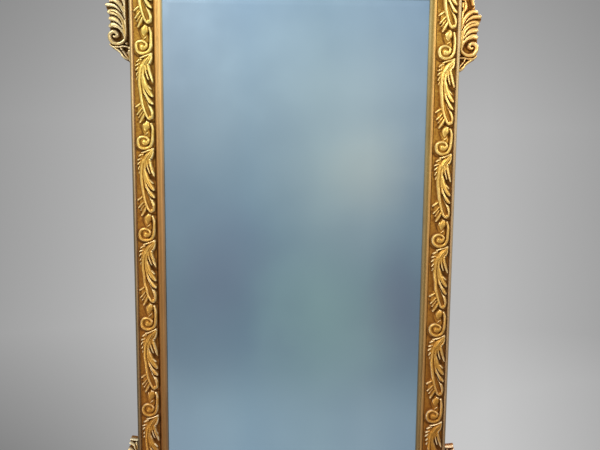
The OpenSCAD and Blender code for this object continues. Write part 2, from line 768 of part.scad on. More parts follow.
module crest_shell() {
    plate = shell_plate(half_foot = 60, foot_h = 26, hub = crest_hub, r = 46, swell = 86, from = 30, n = 10);
    color(BRIGHT_GOLD)
        difference() {
            carved_on_rail(crest_half_w / crest_field.x, crest_h / crest_field.y, plate, "top") {
                fan(crest_hub, 9, 60, 20, 148, 84, 11, 14);
                dome([0, 34], 21, 15, relief_sink, 10);
                for (m = [0, 1])
                    mirror([m, 0, 0]) {
                        ridge([spiral(crest_shell_eye, 17, 5, 420, 9, 100), [4.4, 4.4, 3], [11, 12, 9]],
                              1, relief_sink);
                        dome(crest_shell_eye, 4, 8, relief_sink);
                    }
            }
            cleat_pilots("top", 1);
        }
}

apron_field = [250, 92];
apron_leaves = [
    [[[60, 34], [84, 52], [112, 54]], [4, 7, 2], [8, 12, 6]],
    [[[92, 40], [118, 50], [146, 46]], [4, 6, 2], [8, 12, 6]],
    [[[124, 34], [150, 40], [176, 34]], [4, 5, 2], [7, 11, 5]],
    [[[60, 12], [96, 20], [140, 12], [180, 6]], [4, 6, 2], [8, 10, 5]]
];
apron_band = [[58, 42], [96, 38], [140, 28], [184, 14], [214, 6]];
apron_eye = [222, 22];
apron_volute = spiral(apron_eye, 17, 5, 430, 9, 250);
apron_plate = [[46, 0], [46, 40], [70, 50], [110, 54], [146, 46], [178, 34], [206, 26], [216, 38],
    [232, 36], [238, 22], [230, 8], [212, 0]];

module apron_scroll(side) {
    color(BRIGHT_GOLD)
        mirror([side == "left" ? 1 : 0, 0, 0])
            difference() {
                carved_on_rail(apron_half_w / apron_field.x, apron_h / apron_field.y, apron_plate, "bottom") {
                    carve(apron_leaves, relief_sink);
                    ridge([apron_band, [4, 5, 4], [10, 12, 10]], 1, relief_sink);
                    ridge([apron_volute, [4, 4, 2.6], [10, 11, 8]], 1, relief_sink);
                    dome(apron_eye, 4, 8, relief_sink);
                }
                cleat_pilots("bottom", 2);
            }
}

apron_hub = [0, 14];

module apron_shell() {
    plate = shell_plate(half_foot = 42, foot_h = 16, hub = apron_hub, r = 40, swell = 28, from = 16, n = 8);
    color(BRIGHT_GOLD)
        difference() {
            carved_on_rail(apron_half_w / apron_field.x, apron_h / apron_field.y, plate, "bottom") {
                fan(apron_hub, 7, 72, 10, 76, 46, 8, 13);
                dome([0, 12], 13, 13, relief_sink, 8);
            }
            cleat_pilots("bottom", 1);
        }
}

module cleat(end, i) {
    color(PALE_WOOD)
        difference() {
            translate([cleat_x(end)[i] - cleat_w / 2, -carving_depth,
                       end == "top" ? half_h - cleat_in : -half_h - cleat_out(end)])
                cube([cleat_w, carving_depth, cleat_in + cleat_out(end)]);
            for (v = cleat_screw_vs(end))
                wood_screw([cleat_x(end)[i], sz(end) * (half_h + v)], 0, carving_depth + 1, screw_play);
        }
}

module cleat_screws() {
    color(STEEL)
        for (end = ENDS)
            for (x = cleat_x(end))
                for (v = cleat_screw_vs(end))
                    wood_screw([x, sz(end) * (half_h + v)], 0,
                               carving_depth + (v > 0 ? carving_bite : screw_bite));
}

// ---- Mirror plate, its blocks and the back

plate_w = 2 * (half_w - glass_wall_u - glass_play);
plate_h = 2 * (half_h - glass_wall_u - glass_play);

// Section of the bevelled plate over a width, forward from its back
function bevelled(w) = [[-w / 2, 0], [w / 2, 0], [w / 2, glass_t - bevel_t],
    [w / 2 - bevel_w, glass_t], [-w / 2 + bevel_w, glass_t], [-w / 2, glass_t - bevel_t]];

module mirror_plate() {
    color(SILVER)
        translate([0, -glass_back, 0])
            intersection() {
                linear_extrude(plate_h, center = true)
                    polygon([for (p = bevelled(plate_w)) [p.x, -p.y]]);
                rotate([0, 90, 0])
                    linear_extrude(plate_w, center = true)
                        polygon([for (p = bevelled(plate_h)) [p.x, -p.y]]);
            }
}

// Places of the blocks along the walls of the rebate, as shares of half a wall
side_block_shares = [-0.75, -0.25, 0.25, 0.75];
end_block_shares = [-0.6, 0, 0.6];

// Blocks glued behind the plate, against the walls of the rebate
module setting_blocks() {
    wall_x = half_w - glass_wall_u;
    wall_z = half_h - glass_wall_u;
    color(PALE_WOOD)
        translate([0, -glass_back, 0]) {
            for (s = [-1, 1])
                for (k = side_block_shares)
                    translate([s * (wall_x - block_w / 2) - block_w / 2, 0, k * wall_z - block_l / 2])
                        cube([block_w, block_t, block_l]);
            for (s = [-1, 1])
                for (k = end_block_shares)
                    translate([k * wall_x - block_l / 2, 0, s * (wall_z - block_w / 2) - block_w / 2])
                        cube([block_l, block_t, block_w]);
        }
}

module back_board(i) {
    color(RAW_WOOD)
        difference() {
            translate([-board_w / 2, -board_t, board_z(i) - board_h / 2])
                cube([board_w, board_t, board_h]);
            for (p = board_screw_places)
                if (abs(p.y - board_z(i)) < board_h / 2)
                    wood_screw(p, 0, board_t + 1, screw_play);
        }
}

module back_board_screws() {
    color(STEEL)
        for (p = board_screw_places)
            wood_screw(p, 0, board_t + screw_bite);
}

// ---- Hangers: a strap screwed in a pocket of the stile, and a ring that swings in its knuckle

module hanger_strap(side) {
    x = sx(side) * hanger_x;
    neck_h = knuckle_r * 1.6;
    color(STEEL)
        difference() {
            union() {
                translate([x - strap_w / 2, -pocket_t, hanger_z - strap_l])
                    cube([strap_w, strap_t, strap_l]);
                translate([x, -pivot_depth, hanger_z])
                    rotate([0, 90, 0])
                        cylinder(h = strap_w, r = knuckle_r, center = true);
                translate([x - strap_w / 2, -pocket_t, hanger_z - neck_h / 2])
                    cube([strap_w, pocket_t - pivot_depth, neck_h]);
            }
            translate([x, -pivot_depth, hanger_z])
                rotate([0, 90, 0])
                    cylinder(h = strap_w + 2, r = wire_r + wire_play, center = true);
            for (v = strap_screws)
                translate([x, -pocket_t + strap_t, hanger_z + v])
                    rotate([90, 0, 0])
                        union() {
                            translate([0, 0, -1])
                                cylinder(h = strap_t + 2, r = screw_r + screw_play);
                            cylinder(h = strap_t, r1 = screw_head_r + screw_play, r2 = screw_r + screw_play);
                        }
        }
}

// A ring hanging straight down: a bar, two legs and a half turn
module hanger_ring(side) {
    bow_r = ring_bar / 2;
    leg = ring_reach - bow_r;
    color(STEEL)
        translate([sx(side) * hanger_x, -pivot_depth, hanger_z])
            union() {
                rotate([0, 90, 0])
                    cylinder(h = ring_bar, r = wire_r, center = true);
                for (s = [-1, 1])
                    translate([s * bow_r, 0, -leg]) {
                        cylinder(h = leg, r = wire_r);
                        translate([0, 0, leg])
                            sphere(r = wire_r);
                    }
                translate([0, 0, -leg])
                    rotate([90, 0, 180])
                        rotate_extrude(angle = -180)
                            translate([bow_r, 0])
                                circle(r = wire_r);
            }
}

module hanger_screws() {
    color(STEEL)
        for (s = SIDES)
            for (v = strap_screws)
                translate([sx(s) * hanger_x, -pocket_t + strap_t, hanger_z + v])
                    rotate([90, 0, 0])
                        union() {
                            cylinder(h = strap_screw_l, r = screw_r);
                            cylinder(h = strap_t, r1 = screw_head_r, r2 = screw_r);
                        }
}

for (s = SIDES) {
    stile_at(s);
    frieze_stile(s);
    crest_scroll(s);
    apron_scroll(s);
    hanger_strap(s);
    hanger_ring(s);
    for (e = ENDS) {
        corner_key(s, e);
        corner_leaf(s, e);
        ear(s, e);
    }
}
for (e = ENDS) {
    rail_at(e);
    frieze_rail(e);
}
for (i = [0 : 2]) {
    cleat("top", i);
    cleat("bottom", i);
}
for (i = [0 : board_count - 1]) {
    back_board(i);
}
ear_dowels();
crest_shell();
apron_shell();
cleat_screws();
mirror_plate();
setting_blocks();
back_board_screws();
hanger_screws();
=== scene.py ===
"""A pier mirror: carved gilding, glass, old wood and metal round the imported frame.

The carving is laid out in millimetres, in each piece's own field, as strokes of a
gouge: points, half widths and heights (each at the start, middle and end). Everything
that reaches Blender is in metres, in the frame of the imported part: +X to the right,
+Z up, and the front facing -Y, with the wall at Y = 0.
"""
import math

import bmesh
import bpy
import numpy as np
from mathutils import Matrix, Vector


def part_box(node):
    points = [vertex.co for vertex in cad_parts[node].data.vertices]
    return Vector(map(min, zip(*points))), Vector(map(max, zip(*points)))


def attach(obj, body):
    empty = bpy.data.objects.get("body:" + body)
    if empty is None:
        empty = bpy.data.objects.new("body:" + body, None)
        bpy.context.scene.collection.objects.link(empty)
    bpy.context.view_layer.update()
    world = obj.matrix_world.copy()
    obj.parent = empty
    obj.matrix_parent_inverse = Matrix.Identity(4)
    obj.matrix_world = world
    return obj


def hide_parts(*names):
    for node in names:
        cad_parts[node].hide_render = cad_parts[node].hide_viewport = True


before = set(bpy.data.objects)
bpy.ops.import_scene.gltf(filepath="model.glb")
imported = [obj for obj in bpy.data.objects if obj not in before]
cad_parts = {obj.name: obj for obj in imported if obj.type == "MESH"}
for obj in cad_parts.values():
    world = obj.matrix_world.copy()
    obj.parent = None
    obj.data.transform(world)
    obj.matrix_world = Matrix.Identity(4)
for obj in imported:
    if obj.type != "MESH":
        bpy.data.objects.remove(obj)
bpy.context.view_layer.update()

MM = 0.001
FAR = 1e6
# Spacing of the carvings' points, and the least half width or height of a stroke
CELL = 0.8
EAR_CELL = 0.65
RAIL_CELL = 1.0
THINNEST = 0.5
# Blur of a finished carving, in cells
SOFTEN = 0.45
SIDES = (("left", -1), ("right", 1))
ENDS = (("top", 1), ("bottom", -1))
scene = bpy.context.scene
rng = np.random.default_rng(17)


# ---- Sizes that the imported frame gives, in millimetres

def node_box(node):
    low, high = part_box(node)
    return [v / MM for v in low], [v / MM for v in high]


stile_low, stile_high = node_box("stile_left")
strip_low, strip_high = node_box("frieze_left")
rail_strip_low, rail_strip_high = node_box("frieze_top")
HALF_W = -stile_low[0]
HALF_H = stile_high[2]
MOULDING_W = stile_high[0] - stile_low[0]
GROUND = -strip_high[1]
FRIEZE_W = strip_high[0] - strip_low[0]
FRIEZE_U = strip_low[0] - stile_low[0]
BED = 1.2
STRIP_L = strip_high[2] - strip_low[2]
RAIL_STRIP_L = rail_strip_high[0] - rail_strip_low[0]
SIGHT_HALF_H = HALF_H - MOULDING_W
CARVING_BACK = -node_box("crest_shell")[1][1]
CARVING_T = 12
STRIP_RELIEF = 11.95
SEAT_GAP = 0.02
# Heights that count as fully raised
STRIP_TOP, EAR_TOP, RAIL_TOP = 11, 11.5, 13


# ---- Carving

def smooth_line(points, steps=8):
    """Catmull-Rom line through the points."""
    p = np.array(points, float)
    if len(p) < 3:
        return np.array([p[0] + (p[-1] - p[0]) * k / steps for k in range(steps + 1)])
    line = []
    for i in range(len(p) - 1):
        a, b, c, d = p[max(i - 1, 0)], p[i], p[i + 1], p[min(i + 2, len(p) - 1)]
        for k in range(steps):
            t = k / steps
            line.append(0.5 * (2 * b + (c - a) * t + (2 * a - 5 * b + 4 * c - d) * t * t
                               + (3 * b - 3 * c + d - a) * t ** 3))
    line.append(p[-1])
    return np.array(line)


def blend3(v, t):
    """Quadratic through v at the start, middle and end, and never under THINNEST."""
    through = v[0] * (1 - t) * (1 - 2 * t) + 4 * v[1] * t * (1 - t) + v[2] * t * (2 * t - 1)
    return np.maximum(through, THINNEST)


def blur(a, sigma):
    reach = int(math.ceil(3 * sigma))
    kernel = np.exp(-0.5 * (np.arange(-reach, reach + 1) / sigma) ** 2)
    kernel /= kernel.sum()
    for axis in (0, 1):
        pad = [(0, 0), (0, 0)]
        pad[axis] = (reach, reach)
        wide = np.pad(a, pad, mode="edge")
        size = a.shape[axis]
        a = sum(w * np.take(wide, range(i, i + size), axis) for i, w in enumerate(kernel))
    return a


def to_segment(gx, gy, a, d):
    """Station of the nearest point on the segment from a along d, and the offsets from it."""
    t = np.clip(((gx - a[0]) * d[0] + (gy - a[1]) * d[1]) / max(d @ d, 1e-9), 0, 1)
    return t, gx - a[0] - t * d[0], gy - a[1] - t * d[1]


class Field:
    """Heights over a rectangle. cover is above 0 inside the outline, and in millimetres near it."""

    def __init__(self, low, high, base=0.0, step=CELL):
        count = [int(round((b - a) / step)) + 1 for a, b in zip(low, high)]
        self.x = np.linspace(low[0], high[0], count[0])
        self.y = np.linspace(low[1], high[1], count[1])
        self.height = np.full(count[::-1], float(base))
        self.cover = np.full(count[::-1], -FAR)
        self.grime_and_shade = np.zeros(count[::-1])
        self.base = base
        self.step = step

    def near(self, line, reach):
        """Window round a line: distance from it, side of it and station along it."""
        low, high = line.min(0) - reach, line.max(0) + reach
        i0, i1 = np.searchsorted(self.x, [low[0], high[0]])
        j0, j1 = np.searchsorted(self.y, [low[1], high[1]])
        gx, gy = np.meshgrid(self.x[i0:i1], self.y[j0:j1])
        best = np.full(gx.shape, FAR)
        side = np.zeros(gx.shape)
        station = np.zeros(gx.shape)
        last = len(line) - 1
        for k in range(last):
            d = line[k + 1] - line[k]
            t, px, py = to_segment(gx, gy, line[k], d)
            distance = np.hypot(px, py)
            closer = distance < best
            best[closer] = distance[closer]
            side[closer] = np.sign(d[0] * py - d[1] * px)[closer]
            station[closer] = ((k + t) / last)[closer]
        return (slice(j0, j1), slice(i0, i1)), best, side, station

    def ridge(self, points, widths, heights, lean=0.0, flat=2.0, vein=0.0):
        """A rounded ridge. lean moves its crest to one side, and vein cuts a line down it."""
        window, best, side, station = self.near(smooth_line(points), max(widths) * 1.6)
        w, h = blend3(widths, station), blend3(heights, station)
        across = side * best / w
        off = np.where(across > lean, (across - lean) / (1 - lean), (lean - across) / (1 + lean))
        body = h * np.sqrt(np.clip(1 - np.abs(off) ** flat, 0, None))
        body -= vein * np.exp(-((across - lean) / 0.22) ** 2) * np.sin(math.pi * station)
        under = self.height[window]
        self.height[window] = np.where(best < w, np.maximum(under, body), under)
        self.cover[window] = np.maximum(self.cover[window], w - best)

    def groove(self, points, widths, floor, depth=12.0):
        """A rounded groove down to the floor."""
        window, best, _, station = self.near(smooth_line(points), max(widths) * 1.6)
        w = blend3(widths, station)
        wall = floor + depth * (best / w) ** 2
        under = self.height[window]
        self.height[window] = np.where(best < w * 1.2, np.minimum(under, wall), under)

    def darken(self, points, widths, amount):
        """Old dirt and painted shade in a hollow: a dark line that fades out at its sides."""
        window, best, _, station = self.near(smooth_line(points), max(widths) * 2.4)
        stain = amount * np.exp(-(best / blend3(widths, station)) ** 2)
        self.grime_and_shade[window] = np.maximum(self.grime_and_shade[window], stain)

    def dome(self, centre, r, h, flat=2.0):
        self.ridge([centre, (centre[0] + 0.01, centre[1])], (r, r, r), (h, h, h), 0, flat)

    def carve(self, strokes, jitter):
        """Draws strokes; each is (points, widths, heights) and may add lean, flatness and vein."""
        for points, widths, heights, *rest in strokes:
            p = np.array(points, float)
            self.ridge(p + rng.normal(0, jitter, p.shape), widths, heights, *rest)

    def plate(self, outline):
        """Adds a flat shape to the outline, with no height of its own."""
        p = np.array(outline, float)
        gx, gy = np.meshgrid(self.x, self.y)
        inside = np.zeros(gx.shape, bool)
        best = np.full(gx.shape, FAR)
        for a, b in zip(p, np.roll(p, -1, 0)):
            d = b - a
            _, px, py = to_segment(gx, gy, a, d)
            best = np.minimum(best, np.hypot(px, py))
            if a[1] != b[1]:
                crosses = (gy < a[1]) != (gy < b[1])
                inside ^= crosses & (gx < a[0] + (gy - a[1]) * d[0] / d[1])
        self.cover = np.maximum(self.cover, np.where(inside, best, -best))

    def keep(self, low, high):
        """Trims the outline to a box."""
        self.cover = np.minimum(self.cover, np.minimum(self.x - low[0], high[0] - self.x)[None, :])
        self.cover = np.minimum(self.cover, np.minimum(self.y - low[1], high[1] - self.y)[:, None])

    def shades(self, top):
        """Level over the base, height over a wide and over a close surrounding, all 0 to 1."""
        # dirt and painted shade in the hollows darken the level and the cavity, on low places only
        grime_and_shade = self.grime_and_shade * np.clip((self.base + 7 - self.height) / 4, 0, 1)
        level = np.clip((self.height - self.base) / top, 0, 1) * (1 - grime_and_shade)
        open_h = np.where(self.cover > 0, self.height, self.height.min() + 2)
        cavity = 0.5 + (self.height - blur(open_h, 2.2 / self.step)) / 7
        edge = 0.5 + (self.height - blur(self.height, 0.9 / self.step)) / 2.4
        cavity = np.maximum(cavity, 0.22) - 0.5 * grime_and_shade
        return level, np.clip(cavity, 0, 1), np.clip(edge, 0, 1)


def outline_cells(cover):
    """Faces that fill the outline: whole cells, and cells clipped where cover is 0."""
    inside = cover > 0
    index = np.full(cover.shape, -1)
    index[inside] = np.arange(inside.sum())
    corners = [inside[:-1, :-1], inside[:-1, 1:], inside[1:, 1:], inside[1:, :-1]]
    count = sum(c.astype(int) for c in corners)
    j, i = np.nonzero(count == 4)
    quads = np.stack([index[j, i], index[j, i + 1], index[j + 1, i + 1], index[j + 1, i]], 1)
    crossings = {}
    clipped = []
    for j, i in zip(*np.nonzero((count > 0) & (count < 4))):
        ring = [(j, i), (j, i + 1), (j + 1, i + 1), (j + 1, i)]
        face = []
        for p, q in zip(ring, ring[1:] + ring[:1]):
            if inside[p]:
                face.append(int(index[p]))
            if inside[p] != inside[q]:
                key = (min(p, q), max(p, q))
                if key not in crossings:
                    crossings[key] = int(inside.sum()) + len(crossings)
                face.append(crossings[key])
        if len(face) > 2:
            clipped.append(face)
    return inside, quads, clipped, list(crossings)


def add_carving(name, node, field, back, thick, place, top):
    """A closed mesh in a CAD node's stead: the carved front, walls, and the flat back.

    The flat back is at the depth back, with thick between it and height 0. place turns
    field places into X and Z, in millimetres, and top is a height that is fully raised.
    """
    inside, quads, clipped, crossings = outline_cells(field.cover)
    gx, gy = np.meshgrid(field.x, field.y)
    shades = field.shades(top)
    layers = [gx, gy, field.height, *shades]
    columns = [layer[inside] for layer in layers]
    if crossings:
        p = tuple(np.array([k[0] for k in crossings]).T)
        q = tuple(np.array([k[1] for k in crossings]).T)
        t = field.cover[p] / (field.cover[p] - field.cover[q])
        for n, layer in enumerate(layers):
            mixed = layer[p] + (layer[q] - layer[p]) * t
            if n == 2:
                mixed = np.minimum(layer[p], layer[q])
            columns[n] = np.concatenate([columns[n], mixed])
    x, y, h, *shade = columns
    n = len(x)
    across, up = place(x, y)
    front = np.stack([across, -back - thick - h, up], 1)
    rear = np.stack([across, np.full(n, -back), up], 1)
    faces = [tuple(f) for f in quads.tolist()] + [tuple(f) for f in clipped]
    edges = {}
    for face in faces:
        for a, b in zip(face, face[1:] + face[:1]):
            key = (a, b) if a < b else (b, a)
            edges[key] = None if key in edges else (a, b)
    rim = [e for e in edges.values() if e]
    walls = [(b, a, a + n, b + n) for a, b in rim]
    backs = [tuple(v + n for v in reversed(face)) for face in faces]
    mesh = bpy.data.meshes.new(name)
    mesh.from_pydata((np.concatenate([front, rear]) * MM).tolist(), [], faces + walls + backs)
    slot = [0] * (len(faces) + len(walls)) + [1] * len(backs)
    mesh.polygons.foreach_set("material_index", slot)
    mesh.polygons.foreach_set("use_smooth", [True] * len(mesh.polygons))
    colour = mesh.color_attributes.new("carving", "FLOAT_COLOR", "POINT")
    values = np.ones((2 * n, 4))
    for k in range(3):
        values[:n, k] = shade[k]
        values[n:, k] = 0.3
    colour.data.foreach_set("color", values.ravel())
    bm = bmesh.new()
    bm.from_mesh(mesh)
    bmesh.ops.recalc_face_normals(bm, faces=bm.faces)
    bm.to_mesh(mesh)
    bm.free()
    mesh.set_sharp_from_angle(angle=math.radians(72))
    for m in (CARVED_GOLD, BACK_WOOD):
        mesh.materials.append(m)
    piece = bpy.data.objects.new(name, mesh)
    scene.collection.objects.link(piece)
    finish_piece(piece, "gilt_carving", node)


def finish_piece(piece, slot, *nodes):
    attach(piece, "frame")
    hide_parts(*nodes)


# ---- Materials

def new_material(name):
    m = bpy.data.materials.new(name)
    m.use_nodes = True
    m.node_tree.nodes.clear()
    return m, Nodes(m.node_tree)


class Nodes:
    """Short ways to make and join nodes."""

    def __init__(self, tree):
        self.tree = tree

    def put(self, socket, value):
        if isinstance(value, bpy.types.NodeSocket):
            self.tree.links.new(value, socket)
        else:
            socket.default_value = value

    def new(self, kind, *first, **named):
        """A node, with values or links for its first inputs and for named ones that aren't None."""
        node = self.tree.nodes.new("ShaderNode" + kind)
        for socket, value in zip(node.inputs, first):
            self.put(socket, value)
        for name, value in named.items():
            if value is not None:
                self.put(node.inputs[name], value)
        return node

    def surface(self, tone, rough, bump=None, specular=0.5, **named):
        """The material's surface shader, with values or links for its inputs."""
        shader = self.new("BsdfPrincipled", tone, Roughness=rough, Normal=bump, **named)
        self.put(shader.inputs["Specular IOR Level"], specular)
        self.new("OutputMaterial", shader.outputs[0])

    def math(self, operation, *values):
        node = self.new("Math", *values)
        node.operation = operation
        return node.outputs[0]

    def add(self, a, b):
        return self.math("ADD", a, b)

    def minus(self, a, b):
        return self.math("SUBTRACT", a, b)

    def times(self, a, b):
        return self.math("MULTIPLY", a, b)

    def ramp(self, value, stops, kind="LINEAR"):
        node = self.new("ValToRGB", value)
        ramp = node.color_ramp
        ramp.interpolation = kind
        ramp.elements.remove(ramp.elements[1])
        for k, (place, colour) in enumerate(stops):
            e = ramp.elements[0] if k == 0 else ramp.elements.new(place)
            e.position = place
            e.color = (*colour, 1)
        return node.outputs[0]

    def mix(self, factor, a, b, kind="MIX"):
        node = self.new("Mix")
        node.data_type = "RGBA"
        node.blend_type = kind
        self.put(node.inputs["Factor"], factor)
        sockets = [s for s in node.inputs if s.type == "RGBA"]
        for socket, value in zip(sockets, (a, b)):
            self.put(socket, (*value, 1) if isinstance(value, tuple) else value)
        return [s for s in node.outputs if s.type == "RGBA"][0]

    def tint(self, tone, colour, share=1.0):
        """The tone multiplied by a colour, wholly or in part."""
        return self.mix(share, tone, colour, "MULTIPLY")

    def span(self, value, low, high, to_low=0.0, to_high=1.0):
        return self.new("MapRange", value, low, high, to_low, to_high).outputs[0]

    def where(self):
        """Place on the object: its vector, and X, Y and Z."""
        vector = self.new("TexCoord").outputs["Object"]
        return vector, *self.new("SeparateXYZ", vector).outputs

    def scaled(self, vector, scale):
        return self.new("Mapping", vector, Scale=scale).outputs[0]

    def noise(self, vector, scale, detail=3.0, rough=0.5, distortion=0.0):
        return self.new("TexNoise", Vector=vector, Scale=scale, Detail=detail, Roughness=rough,
                        Distortion=distortion).outputs[0]

    def bump(self, height, strength, distance, under=None):
        return self.new("Bump", Strength=strength, Distance=distance, Height=height,
                        Normal=under).outputs[0]

    def carving(self):
        """Level, cavity and edge of the carving."""
        node = self.new("Attribute")
        node.attribute_name = "carving"
        return self.new("SeparateColor", node.outputs["Color"]).outputs


UMBER = (0.085, 0.032, 0.0015)
BOLE = (0.27, 0.118, 0.018)
DEEP_GOLD = (0.4, 0.215, 0.038)
GOLD = (0.66, 0.43, 0.115)
PALE_GOLD = (0.98, 0.78, 0.33)
WEAR_AND_HIGHLIGHT_GOLD = (1, 0.86, 0.58)
WHITE = (1, 1, 1)
# Painted light falloff: the gilding is painted darker from the first of these heights down to the
# second, in metres
TONE_TOP, TONE_FOOT = 0.62, -0.5
MIDDLE_SHADE = 0.36
# The moulding is bare wood behind this depth, in metres, and past this share of its width
BARE_DEPTH = 0.0168
BARE_SHARE = 0.004


def grey(v):
    return (v, v, v)


def carved_gold():
    """Gilding on carving: dark in the hollows, from a darker glaze and painted shade, and burnished
    pale on the ridges, from wear and painted highlights.
    """
    m, n = new_material("carved_gold")
    vector, x, _, z = n.where()
    level, cavity, edge = n.carving()
    blotch = n.noise(vector, 38, 4, 0.6)
    patch = n.noise(vector, 14, 3, 0.55)
    grain = n.noise(vector, 420, 3, 0.6)
    lower = n.span(z, TONE_TOP, TONE_FOOT)
    left_ear = n.span(x, (1 - HALF_W) * MM, (-1 - HALF_W) * MM)
    right_ear = n.span(x, (HALF_W + 1) * MM, (HALF_W + 3) * MM)
    lit = n.times(n.span(x, -0.1, 0.33), n.span(z, 0.12, 0.36))
    mottle = n.times(n.minus(n.noise(vector, 130, 4, 0.7), 0.46),
                     n.span(level, 0.45, 0.1, 0.16, 1))
    # how open and raised a place is, from hollow to ridge; its ramp paints shade into the hollows
    # and light onto the ridges, over a darker glaze in the recesses
    open_up = n.add(n.times(level, 0.28), n.times(cavity, 0.86))
    # painted light: the darks of the right ear and the lit upper right are lifted; blotch and
    # mottle are random tone
    for part, share in ((right_ear, 0.06), (lit, 0.07), (n.minus(blotch, 0.5), 0.32),
                        (mottle, 0.8)):
        open_up = n.add(open_up, n.times(part, share))
    # painted light falloff: the tone's contrast is squeezed towards the bottom
    squeeze = n.minus(1, n.times(lower, 0.42))
    open_up = n.add(MIDDLE_SHADE, n.times(n.minus(open_up, MIDDLE_SHADE), squeeze))
    tone = n.ramp(open_up, [
        (0.12, UMBER), (0.38, BOLE), (0.57, DEEP_GOLD), (0.74, GOLD), (1, PALE_GOLD)])
    tone = n.tint(tone, (1, 0.78, 0.55), n.span(patch, 0.52, 0.68, 0, 0.35))
    # painted light falloff: darker and browner towards the bottom
    tone = n.tint(tone, n.ramp(lower, [
        (0, (1, 1.14, 1.05)), (0.22, (1, 1.1, 1)), (0.45, (0.92, 0.85, 0.76)),
        (1, (0.78, 0.63, 0.52))]))
    # painted highlight on sharp, open ridges, over wear there, whiter towards the bottom
    rubbed_and_highlight = n.times(n.span(edge, 0.58, 0.84), n.span(cavity, 0.54, 0.78))
    tone = n.mix(n.times(rubbed_and_highlight, n.span(lower, 0, 1, 0.6, 0.66)), tone,
                 n.mix(lower, PALE_GOLD, WEAR_AND_HIGHLIGHT_GOLD))
    # painted shade and light: the left ear is painted greyer and cooler, the lit upper right and
    # the right ear warmer
    tone = n.tint(tone, n.mix(lower, (0.66, 0.63, 0.94), (0.84, 0.92, 1)), left_ear)
    tone = n.tint(tone, (0.98, 0.87, 0.83), lit)
    tone = n.tint(tone, (0.94, 0.84, 0.84), right_ear)
    rough = n.add(n.span(open_up, 0.3, 0.9, 0.6, 0.3), n.times(grain, 0.12))
    fine = n.bump(mottle, 0.5, 0.003, n.bump(grain, 0.25, 0.0006))
    n.surface(tone, rough, n.bump(n.noise(vector, 120, 2, 0.5), 0.25, 0.0012, fine),
              specular=0.15, Metallic=n.span(open_up, 0.2, 0.6, 0.35, 0.75))
    return m


def moulding_gold():
    """Gilding on the plain mouldings: pale outer bead, tan slip, raw wood behind, with painted
    light and shade across the profile.
    """
    m, n = new_material("moulding_gold")
    vector, x, y, z = n.where()
    from_side = n.minus(HALF_W * MM, n.math("ABSOLUTE", x))
    from_end = n.minus(HALF_H * MM, n.math("ABSOLUTE", z))
    u = n.math("DIVIDE", n.math("MINIMUM", from_side, from_end), MOULDING_W * MM)
    # tones across the moulding, from its outer side to the plate, with painted shade on the bead's
    # outer side and painted highlights on the bead and slip; the left stile gets a lit copy, the
    # right a shaded one
    left = n.ramp(u, [
        (BARE_SHARE, (0.46, 0.35, 0.175)), (0.008, (0.13, 0.1, 0.046)),
        (0.027, (0.22, 0.17, 0.085)), (0.048, (0.36, 0.27, 0.13)), (0.068, (0.64, 0.48, 0.23)),
        (0.09, (0.86, 0.63, 0.29)), (0.1, (0.84, 0.56, 0.235)), (0.118, (0.66, 0.37, 0.12)),
        (0.13, BOLE), (0.75, BOLE), (0.768, (0.3, 0.13, 0.016)), (0.8, (0.26, 0.12, 0.02)),
        (0.83, (0.42, 0.22, 0.048)), (0.852, (0.68, 0.39, 0.11)), (0.88, (0.86, 0.52, 0.16)),
        (0.925, (0.8, 0.5, 0.165)), (0.955, (0.56, 0.36, 0.13)), (0.985, (0.52, 0.38, 0.17))])
    right = n.ramp(u, [
        (0, (0.46, 0.38, 0.21)), (0.05, (0.5, 0.39, 0.205)), (0.072, (0.54, 0.39, 0.18)),
        (0.095, (0.56, 0.36, 0.14)), (0.118, (0.4, 0.22, 0.06)), (0.13, BOLE), (0.75, BOLE),
        (0.768, (0.34, 0.16, 0.022)), (0.79, (0.62, 0.36, 0.095)), (0.845, (0.58, 0.37, 0.115)),
        (0.87, (0.48, 0.31, 0.09)), (0.9, (0.35, 0.25, 0.075)), (0.985, (0.32, 0.27, 0.13))])
    tone = n.mix(n.span(x, -0.3, 0.3), left, right)
    streak = n.noise(n.scaled(vector, (60, 60, 9)), 1, 4, 0.6)
    grain = n.noise(vector, 380, 3, 0.6)
    worn = n.ramp(streak, [(0.3, (0.62, 0.5, 0.36)), (0.52, WHITE), (0.75, (1.12, 1.1, 1))])
    tone = n.tint(tone, worn, 0.45)
    # painted light falloff: darker towards the bottom
    tone = n.tint(tone, n.ramp(n.span(z, TONE_TOP, TONE_FOOT), [
        (0, grey(1.04)), (0.45, (0.72, 0.65, 0.68)), (1, (0.46, 0.38, 0.38))]))
    # painted shade on the left and lower part of the moulding, greyer at its outer side
    lower_left_shade = n.ramp(u, [
        (0, (0.56, 0.6, 0.66)), (0.06, (0.48, 0.54, 0.56)), (0.095, (0.9, 0.92, 0.9)),
        (0.12, WHITE), (0.75, WHITE), (0.79, (0.5, 0.38, 0.24)), (0.815, (0.62, 0.5, 0.36)),
        (0.87, (0.95, 0.9, 0.84)), (0.93, (0.78, 0.72, 0.72)), (0.985, (0.85, 0.8, 0.82))])
    tone = n.tint(tone, lower_left_shade, n.times(n.span(z, 0.4, 0.12), n.span(x, 0.3, -0.3)))
    wood = n.ramp(n.noise(n.scaled(vector, (90, 90, 7)), 1, 5, 0.6, 0.4), [
        (0.3, (0.2, 0.12, 0.06)), (0.55, (0.34, 0.22, 0.12)), (0.75, (0.42, 0.29, 0.17))])
    behind = n.times(n.math("GREATER_THAN", y, -BARE_DEPTH), n.math("GREATER_THAN", u, BARE_SHARE))
    rough = n.add(n.span(behind, 0, 1, 0.44, 0.75), n.times(grain, 0.1))
    n.surface(n.mix(behind, tone, wood), rough,
              n.bump(grain, 0.2, 0.0006, n.bump(streak, 0.15, 0.001)),
              specular=0.2, Metallic=n.times(n.minus(1, behind), 0.55))
    return m


